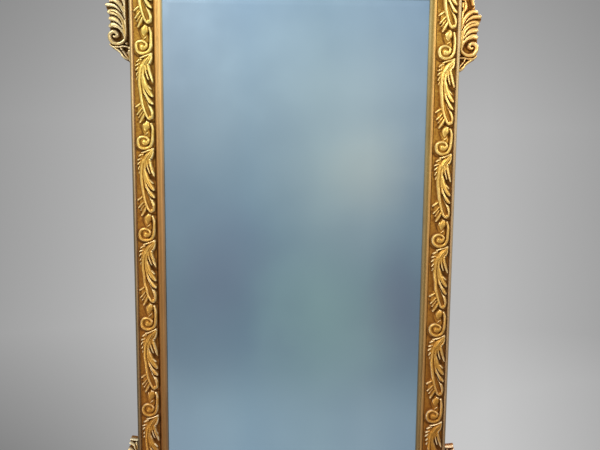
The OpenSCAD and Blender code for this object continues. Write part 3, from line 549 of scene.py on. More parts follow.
def old_wood(name, dark, mid, light, along):
    """Bare wood with its grain along X (0) or Z (2)."""
    m, n = new_material(name)
    vector, *_ = n.where()
    scale = [70, 70, 70]
    scale[along] = 4
    fibre = [600, 600, 600]
    fibre[along] = 18
    rings = n.noise(n.scaled(vector, scale), 1, 5, 0.62, 0.6)
    fibres = n.noise(n.scaled(vector, fibre), 1, 2, 0.5)
    stain = n.noise(vector, 5, 3, 0.6)
    tone = n.ramp(rings, [(0.28, dark), (0.5, mid), (0.72, light)])
    tone = n.tint(tone, n.ramp(fibres, [(0.3, (0.7, 0.66, 0.6)), (0.6, (1.05, 1.04, 1))]), 0.5)
    tone = n.tint(tone, n.ramp(stain, [(0.35, (0.62, 0.55, 0.47)), (0.6, WHITE)]), 0.6)
    n.surface(tone, n.span(fibres, 0.3, 0.7, 0.82, 0.62),
              n.bump(fibres, 0.3, 0.0005, n.bump(rings, 0.3, 0.001)), specular=0.3)
    return m


# Soft clouds of painted reflection in the plate: middle X and Z, half width and height in metres,
# and tint
REFLECTION_CLOUDS = [
    (0.15, 0.16, 0.25, 0.24, (1.18, 1.12, 1.07)),
    (0.19, 0.21, 0.14, 0.15, (1.16, 1.1, 1.04)),
    (-0.17, -0.02, 0.16, 0.22, (1, 0.92, 0.96)),
    (0.27, -0.12, 0.1, 0.22, (0.98, 0.88, 0.93)),
    (0.08, -0.16, 0.22, 0.24, (1.14, 1.19, 1.1)),
    (0.22, 0.62, 0.36, 0.24, (0.74, 0.79, 0.85)),
    (-0.2, -0.17, 0.26, 0.22, (0.92, 0.91, 0.96)),
]


def painted_reflection_glass():
    """Silvered plate with a painted reflection: blue-grey, paler at the top, with soft clouds, and
    a little matte.
    """
    m, n = new_material("painted_reflection_glass")
    vector, x, _, z = n.where()
    tone = n.ramp(n.span(z, -0.62, 0.6), [
        (0, (0.42, 0.58, 0.72)), (0.16, (0.41, 0.575, 0.7)), (0.27, (0.285, 0.41, 0.5)),
        (0.42, (0.235, 0.345, 0.42)), (0.58, (0.33, 0.475, 0.575)), (0.78, (0.475, 0.62, 0.715)),
        (1, (0.58, 0.78, 0.95))], "B_SPLINE")
    haze = n.noise(vector, 2.2, 2, 0.45)
    wander = n.times(n.minus(n.noise(vector, 5, 3, 0.5), 0.5), 0.9)
    tone = n.tint(tone, n.ramp(haze, [(0.35, (0.86, 0.88, 0.9)), (0.65, (1.12, 1.1, 1.04))]), 0.7)
    tone = n.tint(tone, n.ramp(n.span(x, -0.32, 0.32), [
        (0, (0.96, 0.96, 1)), (0.33, (0.92, 0.98, 1.03)), (0.6, (1.06, 1.08, 1.05)),
        (0.79, (1.06, 1.05, 1.03)), (0.93, (0.9, 0.91, 0.94)), (1, (0.84, 0.86, 0.9))]))
    for cx, cz, rx, rz, tint in REFLECTION_CLOUDS:
        dx = n.add(wander, n.math("DIVIDE", n.minus(x, cx), rx))
        dz = n.math("DIVIDE", n.minus(z, cz), rz)
        away = n.add(n.times(dx, dx), n.times(dz, dz))
        share = n.math("POWER", n.math("MAXIMUM", n.minus(1, away), 0), 2)
        tone = n.tint(tone, tint, share)
    ripple = n.noise(n.scaled(vector, (520, 520, 520)), 1, 2, 0.6)
    n.surface(tone, n.span(n.noise(vector, 9, 3, 0.6), 0.3, 0.7, 0.16, 0.24),
              n.bump(ripple, 0.06, 0.0004, n.bump(haze, 0.05, 0.02)), Metallic=1)
    return m


def dull_steel():
    """Old steel: grey, with rust in small spots."""
    m, n = new_material("dull_steel")
    vector, *_ = n.where()
    spots = n.noise(vector, 160, 4, 0.65)
    tone = n.ramp(spots, [
        (0.34, (0.16, 0.1, 0.06)), (0.46, (0.34, 0.33, 0.31)), (0.7, (0.5, 0.49, 0.47))])
    n.surface(tone, n.span(spots, 0.3, 0.7, 0.65, 0.34), n.bump(spots, 0.2, 0.0004),
              Metallic=n.span(spots, 0.36, 0.48, 0.3, 1))
    return m


CARVED_GOLD = carved_gold()
BACK_WOOD = old_wood("back_wood", (0.16, 0.09, 0.045), (0.3, 0.19, 0.1), (0.4, 0.27, 0.15), 0)
PALE_WOOD = old_wood("pale_wood", (0.3, 0.19, 0.1), (0.48, 0.34, 0.19), (0.6, 0.45, 0.27), 2)


# ---- Camera, lights and floor

def set_camera():
    """Camera fitted to the eyes of ten spirals and the edges of the frame."""
    place = Vector((0.1567, -1.7776, 0.3193))
    pitch, yaw, roll = (math.radians(a) for a in (7.64, -0.72, 1.05))
    forward = Vector((math.sin(yaw) * math.cos(pitch), math.cos(yaw) * math.cos(pitch),
                      -math.sin(pitch)))
    level = Vector((math.cos(yaw), -math.sin(yaw), 0))
    upright = level.cross(forward)
    right = math.cos(roll) * level + math.sin(roll) * upright
    up = -math.sin(roll) * level + math.cos(roll) * upright
    camera = bpy.data.objects.new("camera", bpy.data.cameras.new("camera"))
    camera.data.lens = 43.2
    camera.data.sensor_width = 36
    camera.data.shift_x = -0.08
    camera.matrix_world = Matrix.Translation(place) @ Matrix(
        (right, up, -forward)).transposed().to_4x4()
    scene.collection.objects.link(camera)
    scene.camera = camera
    scene.view_settings.view_transform = "Standard"


def add_light(name, place, aim, size, watts, colour):
    data = bpy.data.lights.new(name, "AREA")
    data.shape = "RECTANGLE"
    data.size, data.size_y = size
    data.energy = watts
    data.color = colour
    light = bpy.data.objects.new(name, data)
    light.location = place
    light.rotation_euler = (Vector(aim) - Vector(place)).to_track_quat("-Z", "Y").to_euler()
    scene.collection.objects.link(light)


def set_studio():
    """Soft lights, and a grey backdrop: paler in the middle and low, darker at one low corner."""
    add_light("key", (-1.9, -2.4, 2.6), (0, 0, 0.3), (1.4, 1.4), 120, (1, 0.96, 0.9))
    add_light("fill", (2.6, -2.2, 1.2), (0, 0, 0), (1.2, 1.8), 60, (1, 0.97, 0.93))
    add_light("low", (-2.1, -1.3, -1.2), (0, 0, -0.1), (0.8, 0.8), 20, (1, 0.95, 0.88))
    add_light("behind", (1.2, 2.6, 1.8), (0, 0, 0), (1.8, 1.8), 60, (1, 0.98, 0.96))
    world = bpy.data.worlds.new("studio")
    scene.world = world
    world.use_nodes = True
    n = Nodes(world.node_tree)
    x, y, z = n.new("SeparateXYZ", n.new("TexCoord").outputs["Generated"]).outputs
    back = n.ramp(n.span(z, -0.45, 0.2), [
        (0, grey(0.47)), (0.3, grey(0.45)), (0.7, grey(0.43)), (1, grey(0.31))])
    from_middle = n.times(n.math("ABSOLUTE", n.add(x, 0.05)), 2)
    back = n.tint(back, n.ramp(from_middle, [
        (0, grey(1.12)), (0.45, grey(1.09)), (0.95, grey(0.64))]))
    low = n.math("MAXIMUM", n.minus(-0.26, z), 0)
    tilt = n.math("MINIMUM", n.times(n.times(x, low), 7), 0.12)
    tilt = n.add(1, n.math("MAXIMUM", tilt, -0.42))
    back = n.tint(back, n.new("CombineXYZ", tilt, tilt, tilt).outputs[0])
    front = n.ramp(n.span(z, -0.6, 0.8), [(0, grey(0.55)), (0.45, grey(0.6)), (1, grey(0.8))])
    background = world.node_tree.nodes["Background"]
    n.put(background.inputs[0], n.mix(n.span(y, -0.25, 0.25), front, back))
    background.inputs[1].default_value = 1


FLOOR_Z = -1.6
FLOOR_R = 1.6


def set_floor():
    """A pale round floor that fades out, well under the hanging mirror."""
    mesh = bpy.data.meshes.new("floor")
    bm = bmesh.new()
    bmesh.ops.create_circle(bm, cap_ends=True, segments=96, radius=FLOOR_R)
    bm.to_mesh(mesh)
    bm.free()
    floor = bpy.data.objects.new("floor", mesh)
    floor.location = (0, 0, FLOOR_Z)
    scene.collection.objects.link(floor)
    m, n = new_material("pale_floor")
    vector, x, y, _ = n.where()
    radius = n.math("SQRT", n.add(n.times(x, x), n.times(y, y)))
    n.surface(n.ramp(n.noise(vector, 1.5, 2), [(0.3, grey(0.6)), (0.7, grey(0.66))]), 0.8,
              Alpha=n.span(radius, FLOOR_R - 0.05, FLOOR_R / 2))
    mesh.materials.append(m)


# ---- Frieze. Points are across the strip and down from a spiral's middle.

MOTIF_L = 224.5
FIRST_SPIRAL = 139.2
LEAF_MASS = [
    # crown, with the fingers' root
    ([(42, 19), (35, 28), (28, 37), (20, 50)], (4, 9, 8), (8, 10.4, 9.4), 0, 2.8),
    ([(29, 38), (28, 50), (31, 60), (36, 70)], (7, 6, 2.2), (9, 9, 5.5), 0, 2.8),
    # under the small lobes
    ([(18, 30), (14, 42), (13, 58)], (4, 6, 4), (6, 6.4, 5), 0, 2.4),
    ([(15, 132), (14, 148), (18, 170)], (5, 8, 6), (5.4, 6, 5), 0, 2.4),
    # round the calyx, and inside the ring
    ([(30, 178), (25, 192), (31, 210)], (7, 9, 7), (5, 5, 4.6), 0, 2.6),
    ([(21, 215), (20, 226), (23, 235)], (9, 11, 8), (6, 6.6, 6), 0, 3),
    # body under the crescents
    ([(16, 50), (16, 76), (24, 100), (36, 116)], (7.5, 8, 4), (8.5, 8, 6), 0, 3),
    ([(15, 76), (19, 102), (28, 122), (37, 136)], (6, 7, 4), (8, 7.4, 5.5), 0, 3),
    ([(16, 102), (22, 126), (31, 146), (37, 162)], (4.5, 6, 4.5), (7.5, 6, 5), 0, 3),
]
LEAF = [
    # crown: the broad pale face, its upper rim and its folds
    ([(43.4, 15.5), (35, 19.6), (26, 22.6), (16, 26)], (2.4, 3, 2.2), (9.6, 11.6, 9), 0.2, 2.2),
    ([(43, 18), (38, 26), (31, 35), (23, 47)], (3.2, 6.2, 5.6), (9.6, 11.9, 11.2), 0.25, 2.6),
    ([(44, 22), (41, 33), (36.4, 42), (33, 52)], (2, 3.6, 3.2), (8.5, 11, 10), 0.15, 2.2),
    # small lobes on the outer side
    ([(18.5, 28.5), (12.5, 31), (8, 34.5)], (2.4, 2.9, 2), (9, 9.6, 7), -0.2, 2.2),
    ([(14.5, 39.5), (8.6, 41.5), (4.6, 43.6)], (2.2, 2.5, 1.8), (9, 9.4, 7), -0.2, 2.2),
    ([(13, 47), (8, 50.5), (4.6, 54.5)], (2.2, 2.7, 1.9), (9, 9.4, 7), -0.2, 2.2),
    ([(12.5, 57), (8.4, 61.6), (6, 66.5)], (2, 2.5, 1.7), (9, 9, 6.5), -0.2, 2.2),
    ([(12, 67), (9, 72), (7.6, 77)], (1.8, 2.2, 1.5), (9, 8.6, 6), -0.2, 2.2),
    # spine, with its foot turned up into a loop
    ([(19.5, 44), (15.4, 62), (14.4, 84), (16.4, 104), (18.2, 122), (21.4, 139), (25.6, 153),
      (30.8, 164), (36.4, 168.6), (41, 164)], (5.8, 4.7, 3.4), (10.6, 11.95, 9.4), -0.15, 2.3),
    # long fold beside the spine
    ([(26, 47), (22.4, 64), (22.4, 84), (25.2, 102), (29.4, 117)], (4.2, 4.6, 1.4),
     (10.4, 11.4, 8), 0.1, 2.3),
    # fingers
    ([(28, 42), (30.4, 58), (35, 76)], (4.2, 3.6, 1.8), (10.8, 10.8, 7), 0.2, 2.2),
    ([(34, 42), (38.4, 60), (45, 81)], (4.2, 4.2, 2.2), (10.4, 11.4, 8), 0.2, 2.2),
    ([(38, 55), (41.4, 62), (43.6, 69)], (1.6, 2.2, 1.4), (8, 8.6, 6), 0.2),
    # crescent lobes, each over the next
    ([(28, 87), (34.4, 92.6), (41, 98.5)], (2.4, 3.7, 2.2), (8, 10.4, 8)),
    ([(23, 66), (27.4, 86), (34.4, 102), (43.2, 114.6)], (3.6, 6.8, 3.6), (10.4, 11.95, 9),
     0.25, 2.2),
    ([(22.5, 90), (27.4, 108), (34.6, 122), (43.6, 133)], (2.8, 5.6, 3.2), (9.8, 11.7, 9),
     0.25, 2.2),
    ([(26, 112), (32.6, 127), (39, 141), (43, 154), (42, 166)], (1.6, 3.9, 3.2),
     (9, 11.2, 9.4), 0.25, 2.2),
    # lobes at the foot
    ([(16, 132), (10, 136.4), (3.8, 140.6)], (2.6, 3.5, 2.5), (9, 9.2, 7), -0.2, 2.2),
    ([(19, 143), (12.6, 151), (5.6, 159)], (2.6, 3.2, 2.2), (9, 9.2, 7), -0.2, 2.2),
    ([(20.6, 151), (15, 159), (9.4, 166)], (2, 2.3, 1.5), (8, 8, 6), -0.2, 2.2),
    ([(25, 155), (19.4, 166), (13, 177.5)], (3.4, 4.2, 2.8), (9.6, 9.8, 7), -0.2, 2.2),
    # calyx and small leaf
    ([(31, 177.5), (29, 184), (26.6, 191), (27, 199)], (5.6, 9, 2.4), (9, 10.8, 7.6), 0.15, 2.6),
    ([(22.4, 180), (20.6, 186), (21.4, 192.5)], (1.6, 2.4, 1.4), (7, 8.4, 6)),
    ([(32, 200.5), (27.6, 204.6), (22.4, 208.6)], (1.4, 2.2, 1.3), (7, 7.8, 5.5)),
    # stem and ring
    ([(39.4, 180.5), (42.6, 193), (42.4, 210), (40.6, 225.6), (34.2, 236), (22.6, 239.6),
      (11.6, 235.4), (7.4, 225), (10.4, 215.4), (19.4, 211.4), (28.4, 213.4), (32.8, 219.4)],
     (3.4, 4.9, 3.6), (8.4, 10.4, 9.8), 0, 2.3),
    ([(32.4, 218.4), (30.6, 224.6), (24.4, 229)], (3.4, 5.4, 5.4), (9.8, 10.2, 9.6), 0, 2.2),
]
LEAF_GROOVES = [
    ([(22.4, 108), (26.6, 126), (31.6, 143), (35.6, 157)], (0.9, 4.6, 4.6), 4.2),
    ([(27.4, 100), (33, 111.4), (38.4, 118.6), (46, 122)], (0.8, 1.3, 1.8), 0.6),
    ([(25.4, 112), (32, 127), (38, 135.8), (46, 140)], (0.8, 1.4, 2), 0.6),
    ([(26, 64), (30, 75), (36.4, 84)], (0.7, 1.5, 2.4), 1),
    ([(31.6, 54), (34, 64), (38.6, 76)], (0.7, 1.2, 1.6), 3),
    ([(20, 60), (18.4, 82), (20.4, 104)], (0.7, 1, 0.7), 8),
    ([(39.6, 23), (33, 32), (26, 44)], (0.6, 1, 0.8), 8.8),
    ([(17.6, 27.6), (13.4, 36), (11.6, 48), (11.4, 60), (11, 74)], (0.7, 0.9, 0.7), 6.4),
    ([(29, 172.6), (36, 175.2), (46, 175.6)], (0.9, 1.4, 1.4), 0.6),
    ([(38, 40), (43, 47), (47, 56)], (1.2, 1.4, 1.2), 0.6),
]
# Dark lines of painted shade and old dirt in the leaf's hollows: points, half widths and strength
LEAF_HOLLOWS = [
    ([(30, 78), (37, 85.4), (46, 90.6)], (1.6, 3.6, 4.2), 1),
    ([(30, 174.5), (38, 176.4), (47, 176)], (1.2, 2, 2.6), 0.9),
    ([(19, 186), (21, 188.6)], (2.4, 2.6, 2.4), 0.9),
    ([(14, 176), (12, 186), (18, 201)], (1.6, 2.2, 1.6), 0.5),
    ([(32, 110), (39, 119.6), (46, 122.6)], (1.2, 1.8, 2.6), 1),
    ([(31, 126), (39, 137), (46, 140.6)], (1.2, 1.8, 3), 1),
    ([(34, 148), (37.6, 156), (38, 160)], (1.6, 2.2, 1.6), 0.5),
    ([(2, 154), (8.6, 161), (15, 157)], (1.6, 1.8, 1), 0.7),
    ([(4, 147), (11, 146), (16, 142)], (2, 1.5, 1), 0.6),
    ([(5, 176), (12, 168), (17, 161)], (2.6, 1.6, 0.9), 0.6),
    ([(33.4, 227), (27, 234), (17, 232), (13, 224)], (1.3, 1.6, 1.4), 0.8),
    ([(1, 15), (9, 21.4), (20, 22), (31, 18.4)], (2.4, 2.4, 1.4), 0.9),
    ([(6, 36.6), (3, 48), (4.6, 60), (4, 72)], (1.2, 1.6, 1.4), 0.6),
    ([(46, 20), (45.6, 32), (43.6, 41)], (1.4, 2.2, 1.4), 0.6),
]


def carve_motif(field, down, pitch):
    """One leaf over its spiral, with a hand's small unevenness."""
    k = pitch / MOTIF_L

    def set_down(points):
        return [(x, down + s * k) for x, s in points]

    for strokes in (LEAF_MASS, LEAF):
        field.carve([(set_down(p), *rest) for p, *rest in strokes], 0.3)
    for points, widths, floor in LEAF_GROOVES:
        field.groove(set_down(points), widths, floor, 9)
    for points, widths, amount in LEAF_HOLLOWS:
        field.darken(set_down(points), widths, amount)
    wobble = rng.normal(0, 0.4, 2)
    field.dome((22.4 + wobble[0], down + (225.4 + wobble[1]) * k), 9, 10.6, 2.4)
    field.dome((38.4, down + 165.4 * k), 5.8, 10.8, 2.4)


def frieze_field(length, pitch, first):
    field = Field((0, 0), (FRIEZE_W, length))
    field.cover[:] = 1
    for k in range(math.ceil((length - first) / pitch) + 1):
        carve_motif(field, first + (k - 1) * pitch, pitch)
    ground = rng.normal(0, 0.5, field.height.shape)
    field.height = blur(field.height, SOFTEN) + blur(ground, 1.2) * 0.5
    field.height = np.clip(field.height, 0, STRIP_RELIEF)
    return field


def dress_friezes():
    for (side, _), x0 in zip(SIDES, (strip_low[0], HALF_W - FRIEZE_U - FRIEZE_W)):
        field = frieze_field(STRIP_L, MOTIF_L, FIRST_SPIRAL)
        add_carving("frieze_carving_" + side, "frieze_" + side, field, GROUND, BED,
                    lambda x, s: (x0 + x, STRIP_L / 2 - s), STRIP_TOP)
    pitch = RAIL_STRIP_L / round(RAIL_STRIP_L / MOTIF_L)
    for end, _ in ENDS:
        z0 = node_box("frieze_" + end)[0][2]
        field = frieze_field(RAIL_STRIP_L, pitch, pitch * 0.9)
        add_carving("frieze_carving_" + end, "frieze_" + end, field, GROUND, BED,
                    lambda x, s: (s - RAIL_STRIP_L / 2, z0 + x), STRIP_TOP)


# One half of a corner leaf; the other half has its two coordinates changed over
CORNER_HALF = [
    ([(6, 6), (16, 28), (31, 43.5)], (3, 5, 1.6), (8, 10.5, 6), 0.2, 2, 1.6),
    ([(5, 7), (8, 26), (16, 42.5)], (3, 5, 1.6), (7, 9.5, 5), 0.2, 2, 1.4),
    ([(3, 8), (3.4, 20), (5, 34)], (2, 3, 1.6), (6, 7, 4), 0, 2, 0),
]
CORNER_STROKES = [
    ([(4, 4), (22, 22), (43.5, 43.5)], (4, 7, 1.4), (8, 12, 7), 0, 2, 2.5), *CORNER_HALF,
    *(([(y, x) for x, y in p], w, h, -lean, flat, vein)
      for p, w, h, lean, flat, vein in CORNER_HALF)]


def dress_corners():
    for end, sz in ENDS:
        for side, sx in SIDES:
            field = Field((0, 0), (FRIEZE_W, FRIEZE_W))
            field.cover[:] = 1
            field.carve(CORNER_STROKES, 0.25)
            field.dome((7, 7), 6, 11)
            field.height = np.clip(blur(field.height, SOFTEN), 0, STRIP_RELIEF)
            x0, z0 = sx * (HALF_W - FRIEZE_U), sz * (HALF_H - FRIEZE_U)
            add_carving(f"corner_carving_{end}_{side}", f"corner_leaf_{end}_{side}", field,
                        GROUND, BED, lambda x, s: (x0 - sx * x, z0 - sz * s), STRIP_TOP)


# ---- Ears. Points are outward from the side of the frame and up from the volute's eye.

EAR_BASE = -5
ear_low, ear_high = node_box("ear_top_left")
right_high = node_box("ear_top_right")[1]
EAR_TRIM = (-ear_low[0]) - right_high[0]
EAR_DROP = ear_high[2] - right_high[2]
# Heights of the volutes' eyes, from the ends of the sight
UPPER_EYE_Z = SIGHT_HALF_H - 100
LOWER_EYE_Z = -SIGHT_HALF_H + 9
# Heights, lean and flatness of the feathers
FEATHER = (8, 12.4, 10), -0.3, 2.6
LOWER_FEATHER = (8, 12.4, 10), -0.35, 2.6
UPPER_EAR = [
    # feathers, from the volute up
    ([(13, 0), (18, 15), (29, 26), (40, 30), (48, 27.5)], (3, 7.2, 5.4), *FEATHER),
    ([(13, 8), (18, 26), (26, 36), (38, 43), (47.5, 44)], (3, 6.8, 5.6), *FEATHER),
    ([(11, 16), (15, 38), (24, 52), (36, 59), (49, 60)], (3, 8.2, 6.8), *FEATHER, 2.5),
    ([(10, 32), (13, 54), (23, 66), (37, 75), (55.5, 76)], (3, 6.4, 4.6), *FEATHER),
    ([(9.5, 46), (15, 64), (25, 78), (36, 86), (47, 86)], (2.6, 5.6, 4.2), *FEATHER),
    # stem beside the feathers' roots
    ([(12, 4), (10.5, 40), (13, 76), (14, 104)], (3, 3.5, 5), (8, 9, 9)),
    # ledge under the volute, with a small leaf
    ([(8, -21), (20, -20.5), (30, -21.5), (42, -22), (50, -16)], (2.2, 3, 2.8), (7, 9, 8)),
    ([(42, -23), (31, -30), (21, -40)], (2.4, 3.4, 2.6), (5, 8, 7)),
    ([(24, -24), (19, -31), (12, -41), (6, -49)], (2.2, 2.6, 2), (9, 10.5, 8)),
    ([(22, -40), (17, -46), (9, -50)], (3, 3.8, 2.4), (8, 9, 6)),
    ([(4, -24), (4, -40), (3, -53)], (4.4, 4.4, 3), (6, 7, 5)),
    # upper curl and leaf
    ([(40, 95), (37, 108), (33, 122), (22, 133), (11, 128), (11, 116), (19, 113)],
     (3.4, 4.6, 3.4), (8, 12, 9)),
    ([(12, 60), (18, 84), (21, 98), (19, 110)], (3, 4.6, 3), (8, 10, 8)),
    ([(4, 100), (5, 124), (12, 146), (23, 156)], (3, 5, 2.2), (8, 11, 6), 0, 2, 2.5),
]
UPPER_EAR_GROOVES = [
    ([(54, 21), (41, 21.6), (31, 20), (24, 15), (19, 8)], (2.4, 1.9, 1.3), 0),
    ([(53, 35.5), (41, 36.6), (33, 34), (25, 28), (18, 20)], (2.8, 1.8, 1.1), 0.5),
    ([(56, 51), (42, 51), (33, 48), (26, 42), (19, 30)], (2, 1.7, 1.1), 0.5),
    ([(47, 60.6), (38, 59), (30, 55)], (0.7, 1.2, 0.8), 6),
    ([(61, 69), (48, 68), (36, 67), (27, 62), (18, 52), (13, 42)], (2.2, 1.8, 1.1), 0),
    ([(53, 80.5), (44, 80.5), (34, 77), (24, 68), (17, 56)], (2.8, 1.8, 1.1), 0),
    ([(38, 98), (28, 92), (20, 84), (16, 74)], (3, 2.6, 1.4), -2),
    # deep gap along the frame's side
    ([(7, -12), (6, 10), (6, 50), (7, 88)], (2.6, 3.8, 4), EAR_BASE),
    ([(11, 90), (11.6, 92)], (3.4, 3.4, 3.4), EAR_BASE),
    # under the volute's rim and inside it
    ([(12, -8), (20, -15), (29, -18.6), (40, -18.6)], (1.8, 2.2, 1.8), -3),
    ([(39, 9), (43, 6), (42, 0), (37, -4), (30, -5.4), (24, -2)], (2, 2.6, 2.4), -1),
    ([(5, -27), (18, -29)], (2.2, 2.6, 2.2), -2),
]
UPPER_EAR_DOMES = [((13.5, -1), 4, 10.5), ((10, -13.5), 3.2, 9), ((27.5, -33), 3.4, 8.5)]
EAR_VOLUTE = [
    (14, -3), (20, -10), (30, -14.5), (41, -13), (48.5, -5), (49.5, 6), (42.5, 13), (35, 11.5),
    (32, 5), (37, 1.5), (41, 3)]
UPPER_EAR_PLATE = [
    (0, -60), (4, -59), (10, -54), (17, -51), (21, -46), (22, -39), (28, -37), (38, -30),
    (46, -25), (50, -18), (52, -10), (52, 22), (51, 36), (52, 50), (56, 61), (60, 71), (58, 78),
    (50, 86), (43, 91), (40, 95), (40, 106), (36, 122), (26, 148), (14, 150), (0, 132)]
LOWER_EAR = [
    ([(13, -12), (15, 4), (23, 17), (34, 23), (45, 24)], (1.8, 4.2, 5), *LOWER_FEATHER),
    ([(11, -4), (13, 20), (21, 34), (32, 41), (43.5, 43)], (1.8, 4.4, 5.2), *LOWER_FEATHER, 3),
    ([(9, 6), (12, 38), (19, 53), (29, 61), (39, 63)], (1.8, 4.4, 5.2), *LOWER_FEATHER, 3),
    ([(7, 16), (10, 58), (16, 74), (25, 82), (33.5, 84)], (1.8, 4.2, 4.6), *LOWER_FEATHER),
    ([(6, 30), (8, 78), (13, 95), (20, 103), (26, 106)], (1.8, 4.2, 4), *LOWER_FEATHER),
    ([(5, 60), (6, 100), (11, 114), (17, 121), (23, 124)], (1.8, 3.4, 2.6), (8, 11, 10), -0.3, 2.6),
    ([(4, 108), (4, 118), (7, 124)], (3, 4, 3.4), (8, 11, 10)),
    ([(2.4, 131), (12, 132.2), (21.6, 133.4)], (2.2, 2.2, 2.2), (9, 9, 9), 0, 3),
    ([(49, -12), (41, -25), (26, -31), (11, -25)], (2.2, 3.4, 2.2), (5, 9, 8)),
    ([(32, -24), (20, -36), (11, -54), (5, -74)], (2, 5, 2.2), (6, 10, 6), 0.2, 2, 2),
    ([(8, -34), (6, -56), (3, -85)], (5, 4.4, 2.2), (8, 7.5, 4)),
]
LOWER_EAR_GROOVES = [
    ([(2, 127.4), (12, 128.8), (23, 130)], (1.6, 1.8, 1.6), -2),
    ([(12, 114), (17, 117.5), (24, 119)], (0.9, 1.3, 1.3), 3),
    ([(36.5, 3.5), (36.5, 3.6)], (3.4, 3.4, 3.4), EAR_BASE),
    ([(9.5, -30), (9.6, -30)], (1.9, 1.9, 1.9), EAR_BASE),
]
LOWER_EAR_DOMES = [((9.5, -30), 5.2, 9), ((27, -33), 3.6, 7)]
LOWER_VOLUTE = [
    (11, -13), (20, -18.5), (31, -21), (42, -16), (48, -4), (44.5, 9), (35, 13), (27, 8.5),
    (25.5, -1), (31, -7), (38, -4)]
LOWER_EAR_PLATE = [
    (0, -90), (4, -87), (16, -56), (36, -33), (46, -18), (45, 24), (42, 46), (36, 66), (30, 88),
    (25, 108), (24, 134), (12, 134), (0, 133)]


EARS = {
    "top": (UPPER_EAR, UPPER_EAR_GROOVES, UPPER_EAR_DOMES, EAR_VOLUTE, (3.4, 5.4, 2.6),
            UPPER_EAR_PLATE),
    "bottom": (LOWER_EAR, LOWER_EAR_GROOVES, LOWER_EAR_DOMES, LOWER_VOLUTE, (3.6, 4.6, 3),
               LOWER_EAR_PLATE),
}


def ear_field(end):
    strokes, grooves, domes, volute, volute_w, plate = EARS[end]
    field = Field((-2, -96), (64, 164), EAR_BASE, EAR_CELL)
    field.carve(strokes, 0.2)
    for points, widths, floor in grooves:
        field.groove(points, widths, floor)
    field.ridge(volute, volute_w, (8, 12.4, 9), 0, 2.4)
    for centre, r, h in domes:
        field.dome(centre, r, h)
    field.plate(plate)
    return field


def dress_ears():
    """Four ears. The upper right one sits lower, and is cut narrower at the frame's side."""
    for end, _ in ENDS:
        for side, sx in SIDES:
            moved = side == "right" and end == "top"
            trim, drop = (EAR_TRIM, EAR_DROP) if moved else (0, 0)
            eye_z = (UPPER_EYE_Z if end == "top" else LOWER_EYE_Z) - drop
            node = f"ear_{end}_{side}"
            low, high = node_box(node)
            reach = (high[0] if sx > 0 else -low[0]) - HALF_W + trim
            field = ear_field(end)
            field.keep((trim + SEAT_GAP, low[2] - eye_z), (reach, high[2] - eye_z))
            field.height = blur(field.height, 0.5)
            add_carving(f"ear_carving_{end}_{side}", node, field, CARVING_BACK, CARVING_T,
                        lambda e, v: (sx * (HALF_W - trim + e), eye_z + v), EAR_TOP)


# ---- Crest and apron. Points are across from the middle and out from the rail.

def spiral(centre, r0, r1, turn, count, start):
    """Points of a spiral from one radius to another, from the angle start, in degrees."""
    points = []
    for k in range(count + 1):
        r = r0 + (r1 - r0) * k / count
        a = math.radians(start + turn * k / count)
        points.append((centre[0] + r * math.cos(a), centre[1] + r * math.sin(a)))
    return points


def fan(field, hub, count, spread, inner, middle_l, side_l, w, h):
    """Lobes round a hub, each widest near its round tip and hollowed down its middle."""
    for k in range(count):
        a = spread * (2 * k / (count - 1) - 1)
        reach = side_l + (middle_l - side_l) * math.cos(math.radians(a * 90 / spread))
        d = np.array([math.sin(math.radians(a)), math.cos(math.radians(a))])
        line = [np.array(hub) + d * r for r in (inner, reach * 0.45, reach * 0.82, reach)]
        field.ridge(line, (w * 0.35, w, w * 0.6), (h * 0.7, h, h * 0.62), 0, 2.2, h * 0.35)


RAIL_BASE = -4
CREST_LEAVES = [
    ([(112, 76), (108, 104), (119, 131)], (4, 8, 2.6), (9, 13, 8), 0.2, 2, 3),
    ([(126, 80), (134, 104), (154, 121)], (4, 8, 2.6), (9, 13, 8), 0.2, 2, 3),
    ([(148, 78), (164, 98), (188, 106)], (4, 8, 2.6), (9, 13, 8), 0.2, 2, 3),
    ([(174, 68), (194, 84), (220, 87)], (4, 7.4, 2.4), (9, 12.5, 8), 0.2, 2, 2.6),
    ([(204, 54), (226, 66), (252, 65)], (4, 6.4, 2.2), (9, 12, 7), 0.2, 2, 2.2),
    ([(238, 40), (260, 49), (282, 46)], (3, 5.4, 2.2), (8, 11, 7), 0.2, 2, 2),
    ([(66, 6), (104, 12), (150, 26), (206, 26), (262, 8)], (5, 9, 4), (8, 11, 6), 0, 2, 3),
    ([(150, 26), (166, 14), (184, 6)], (4, 6, 2), (8, 10, 6)),
    ([(150, 28), (164, 40), (186, 44)], (4, 6, 2), (8, 10, 6), 0, 2, 2),
    ([(92, 30), (126, 34), (160, 52), (196, 52)], (3, 4, 2), (7, 9, 5)),
]
CREST_BAND = [(112, 74), (148, 78), (190, 62), (238, 38), (288, 18), (318, 8)]
CREST_PLATE = [
    (61, 0), (61, 14), (82, 28), (80, 58), (98, 78), (106, 106), (119, 116), (148, 110),
    (186, 94), (220, 77), (254, 57), (286, 40), (306, 48), (326, 52), (342, 38), (336, 14),
    (318, 0)]
APRON_LEAVES = [
    ([(60, 34), (84, 51), (112, 52)], (4, 7, 2.2), (8, 12, 7), 0.2, 2, 2.4),
    ([(92, 40), (118, 49), (144, 45)], (4, 6, 2.2), (8, 12, 7), 0.2, 2, 2),
    ([(124, 34), (150, 40), (174, 33)], (4, 5, 2), (7, 11, 6), 0.2, 2, 1.6),
    ([(60, 12), (96, 20), (140, 12), (180, 6)], (4, 6, 2), (8, 10, 5), 0, 2, 2),
]
APRON_BAND = [(58, 42), (96, 38), (140, 28), (184, 14), (214, 6)]
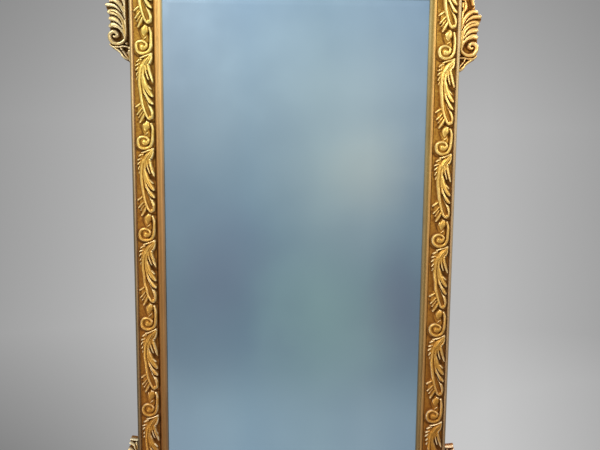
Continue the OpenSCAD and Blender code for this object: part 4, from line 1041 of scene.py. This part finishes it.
APRON_PLATE = [
    (46, 0), (46, 40), (70, 48), (110, 52), (146, 44), (178, 32), (206, 25), (216, 36), (232, 35),
    (237, 22), (230, 8), (212, 0)]


def finish_rail_carving(field, name, node, sx, sz):
    """Trims the carving to its node's box, and stands it on the rail's edge."""
    low, high = node_box(node)
    x0, x1 = sorted(sx * v for v in (low[0], high[0]))
    field.keep((x0, SEAT_GAP), (x1, max(abs(low[2]), abs(high[2])) - HALF_H))
    field.height = np.minimum(blur(field.height, SOFTEN), -low[1] - CARVING_BACK - CARVING_T)
    add_carving(name, node, field, CARVING_BACK, CARVING_T,
                lambda x, v: (sx * x, sz * (HALF_H + v)), RAIL_TOP)


def shell_plate(half_w, foot, hub, radius, swell, first):
    """Outline of a shell: a straight foot and a swelling arch."""
    arch = []
    for k in range(17):
        a = math.radians(first + (180 - 2 * first) * k / 16)
        r = radius + swell * math.sin(a)
        arch.append((r * math.cos(a), hub + r * math.sin(a)))
    return [(half_w, 0), (half_w, foot)] + arch + [(-half_w, foot), (-half_w, 0)]


def dress_crest():
    field = Field((-90, -2), (90, 196), RAIL_BASE, RAIL_CELL)
    fan(field, (0, 40), 9, 60, 20, 144, 82, 11.5, 13.5)
    field.dome((0, 34), 21, 14.5)
    for _, sx in SIDES:
        field.ridge([(sx * p[0], p[1]) for p in spiral((38, 22), 17, 4, 430, 16, 100)],
                    (4.6, 4.4, 3), (10, 12, 9), 0, 2.4)
    field.plate(shell_plate(60, 26, 40, 44, 84, 30))
    finish_rail_carving(field, "crest_shell_carving", "crest_shell", 1, 1)
    for side, sx in SIDES:
        field = Field((56, -2), (354, 140), RAIL_BASE, RAIL_CELL)
        field.carve(CREST_LEAVES, 0.3)
        field.ridge(CREST_BAND, (5.4, 6.8, 5), (11, 13.5, 11), 0, 3, 3)
        field.ridge(spiral((112, 46), 28, 7, 520, 20, 90), (6.4, 6, 3.8), (12, 14, 11), 0, 2.4)
        field.ridge(spiral((322, 32), 24, 6, 470, 18, 265), (5.4, 5, 3.4), (11, 12.5, 9), 0, 2.4)
        field.dome((112, 46), 5.5, 11)
        field.dome((322, 32), 5, 10)
        field.plate(CREST_PLATE)
        finish_rail_carving(field, "crest_scroll_carving_" + side, "crest_scroll_" + side, sx, 1)


def dress_apron():
    field = Field((-60, -2), (60, 96), RAIL_BASE, RAIL_CELL)
    fan(field, (0, 14), 7, 72, 10, 73, 45, 8.4, 12.5)
    field.dome((0, 12), 13, 13)
    field.plate(shell_plate(42, 16, 14, 38, 26, 16))
    finish_rail_carving(field, "apron_shell_carving", "apron_shell", 1, -1)
    for side, sx in SIDES:
        field = Field((42, -2), (244, 64), RAIL_BASE, RAIL_CELL)
        field.carve(APRON_LEAVES, 0.3)
        field.ridge(APRON_BAND, (4.4, 5.2, 4), (10, 12.5, 10), 0, 3, 2.4)
        field.ridge(spiral((222, 22), 17, 4.6, 440, 16, 250), (4, 4, 2.8), (10, 11, 8), 0, 2.4)
        field.dome((222, 22), 4, 8.5)
        field.plate(APRON_PLATE)
        finish_rail_carving(field, "apron_scroll_carving_" + side, "apron_scroll_" + side, sx, -1)


# ---- CAD nodes that keep their mesh and get a better material

def dress_nodes():
    moulding = moulding_gold()
    glass = painted_reflection_glass()
    steel = dull_steel()
    finishes = {"stile": moulding, "rail": moulding, "corner_key": PALE_WOOD,
                "ear_dowels": PALE_WOOD, "crest_cleat": PALE_WOOD, "apron_cleat": PALE_WOOD,
                "setting_blocks": PALE_WOOD, "back_board": BACK_WOOD, "mirror_plate": glass,
                "cleat_screws": steel, "back_board_screws": steel, "hanger": steel}
    for name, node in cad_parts.items():
        starts = [k for k in finishes if name.startswith(k)]
        if starts:
            best = max(starts, key=len)
            for slot in node.material_slots:
                slot.material = finishes[best]


set_camera()
set_studio()
set_floor()
dress_nodes()
dress_friezes()
dress_corners()
dress_ears()
dress_crest()
dress_apron()
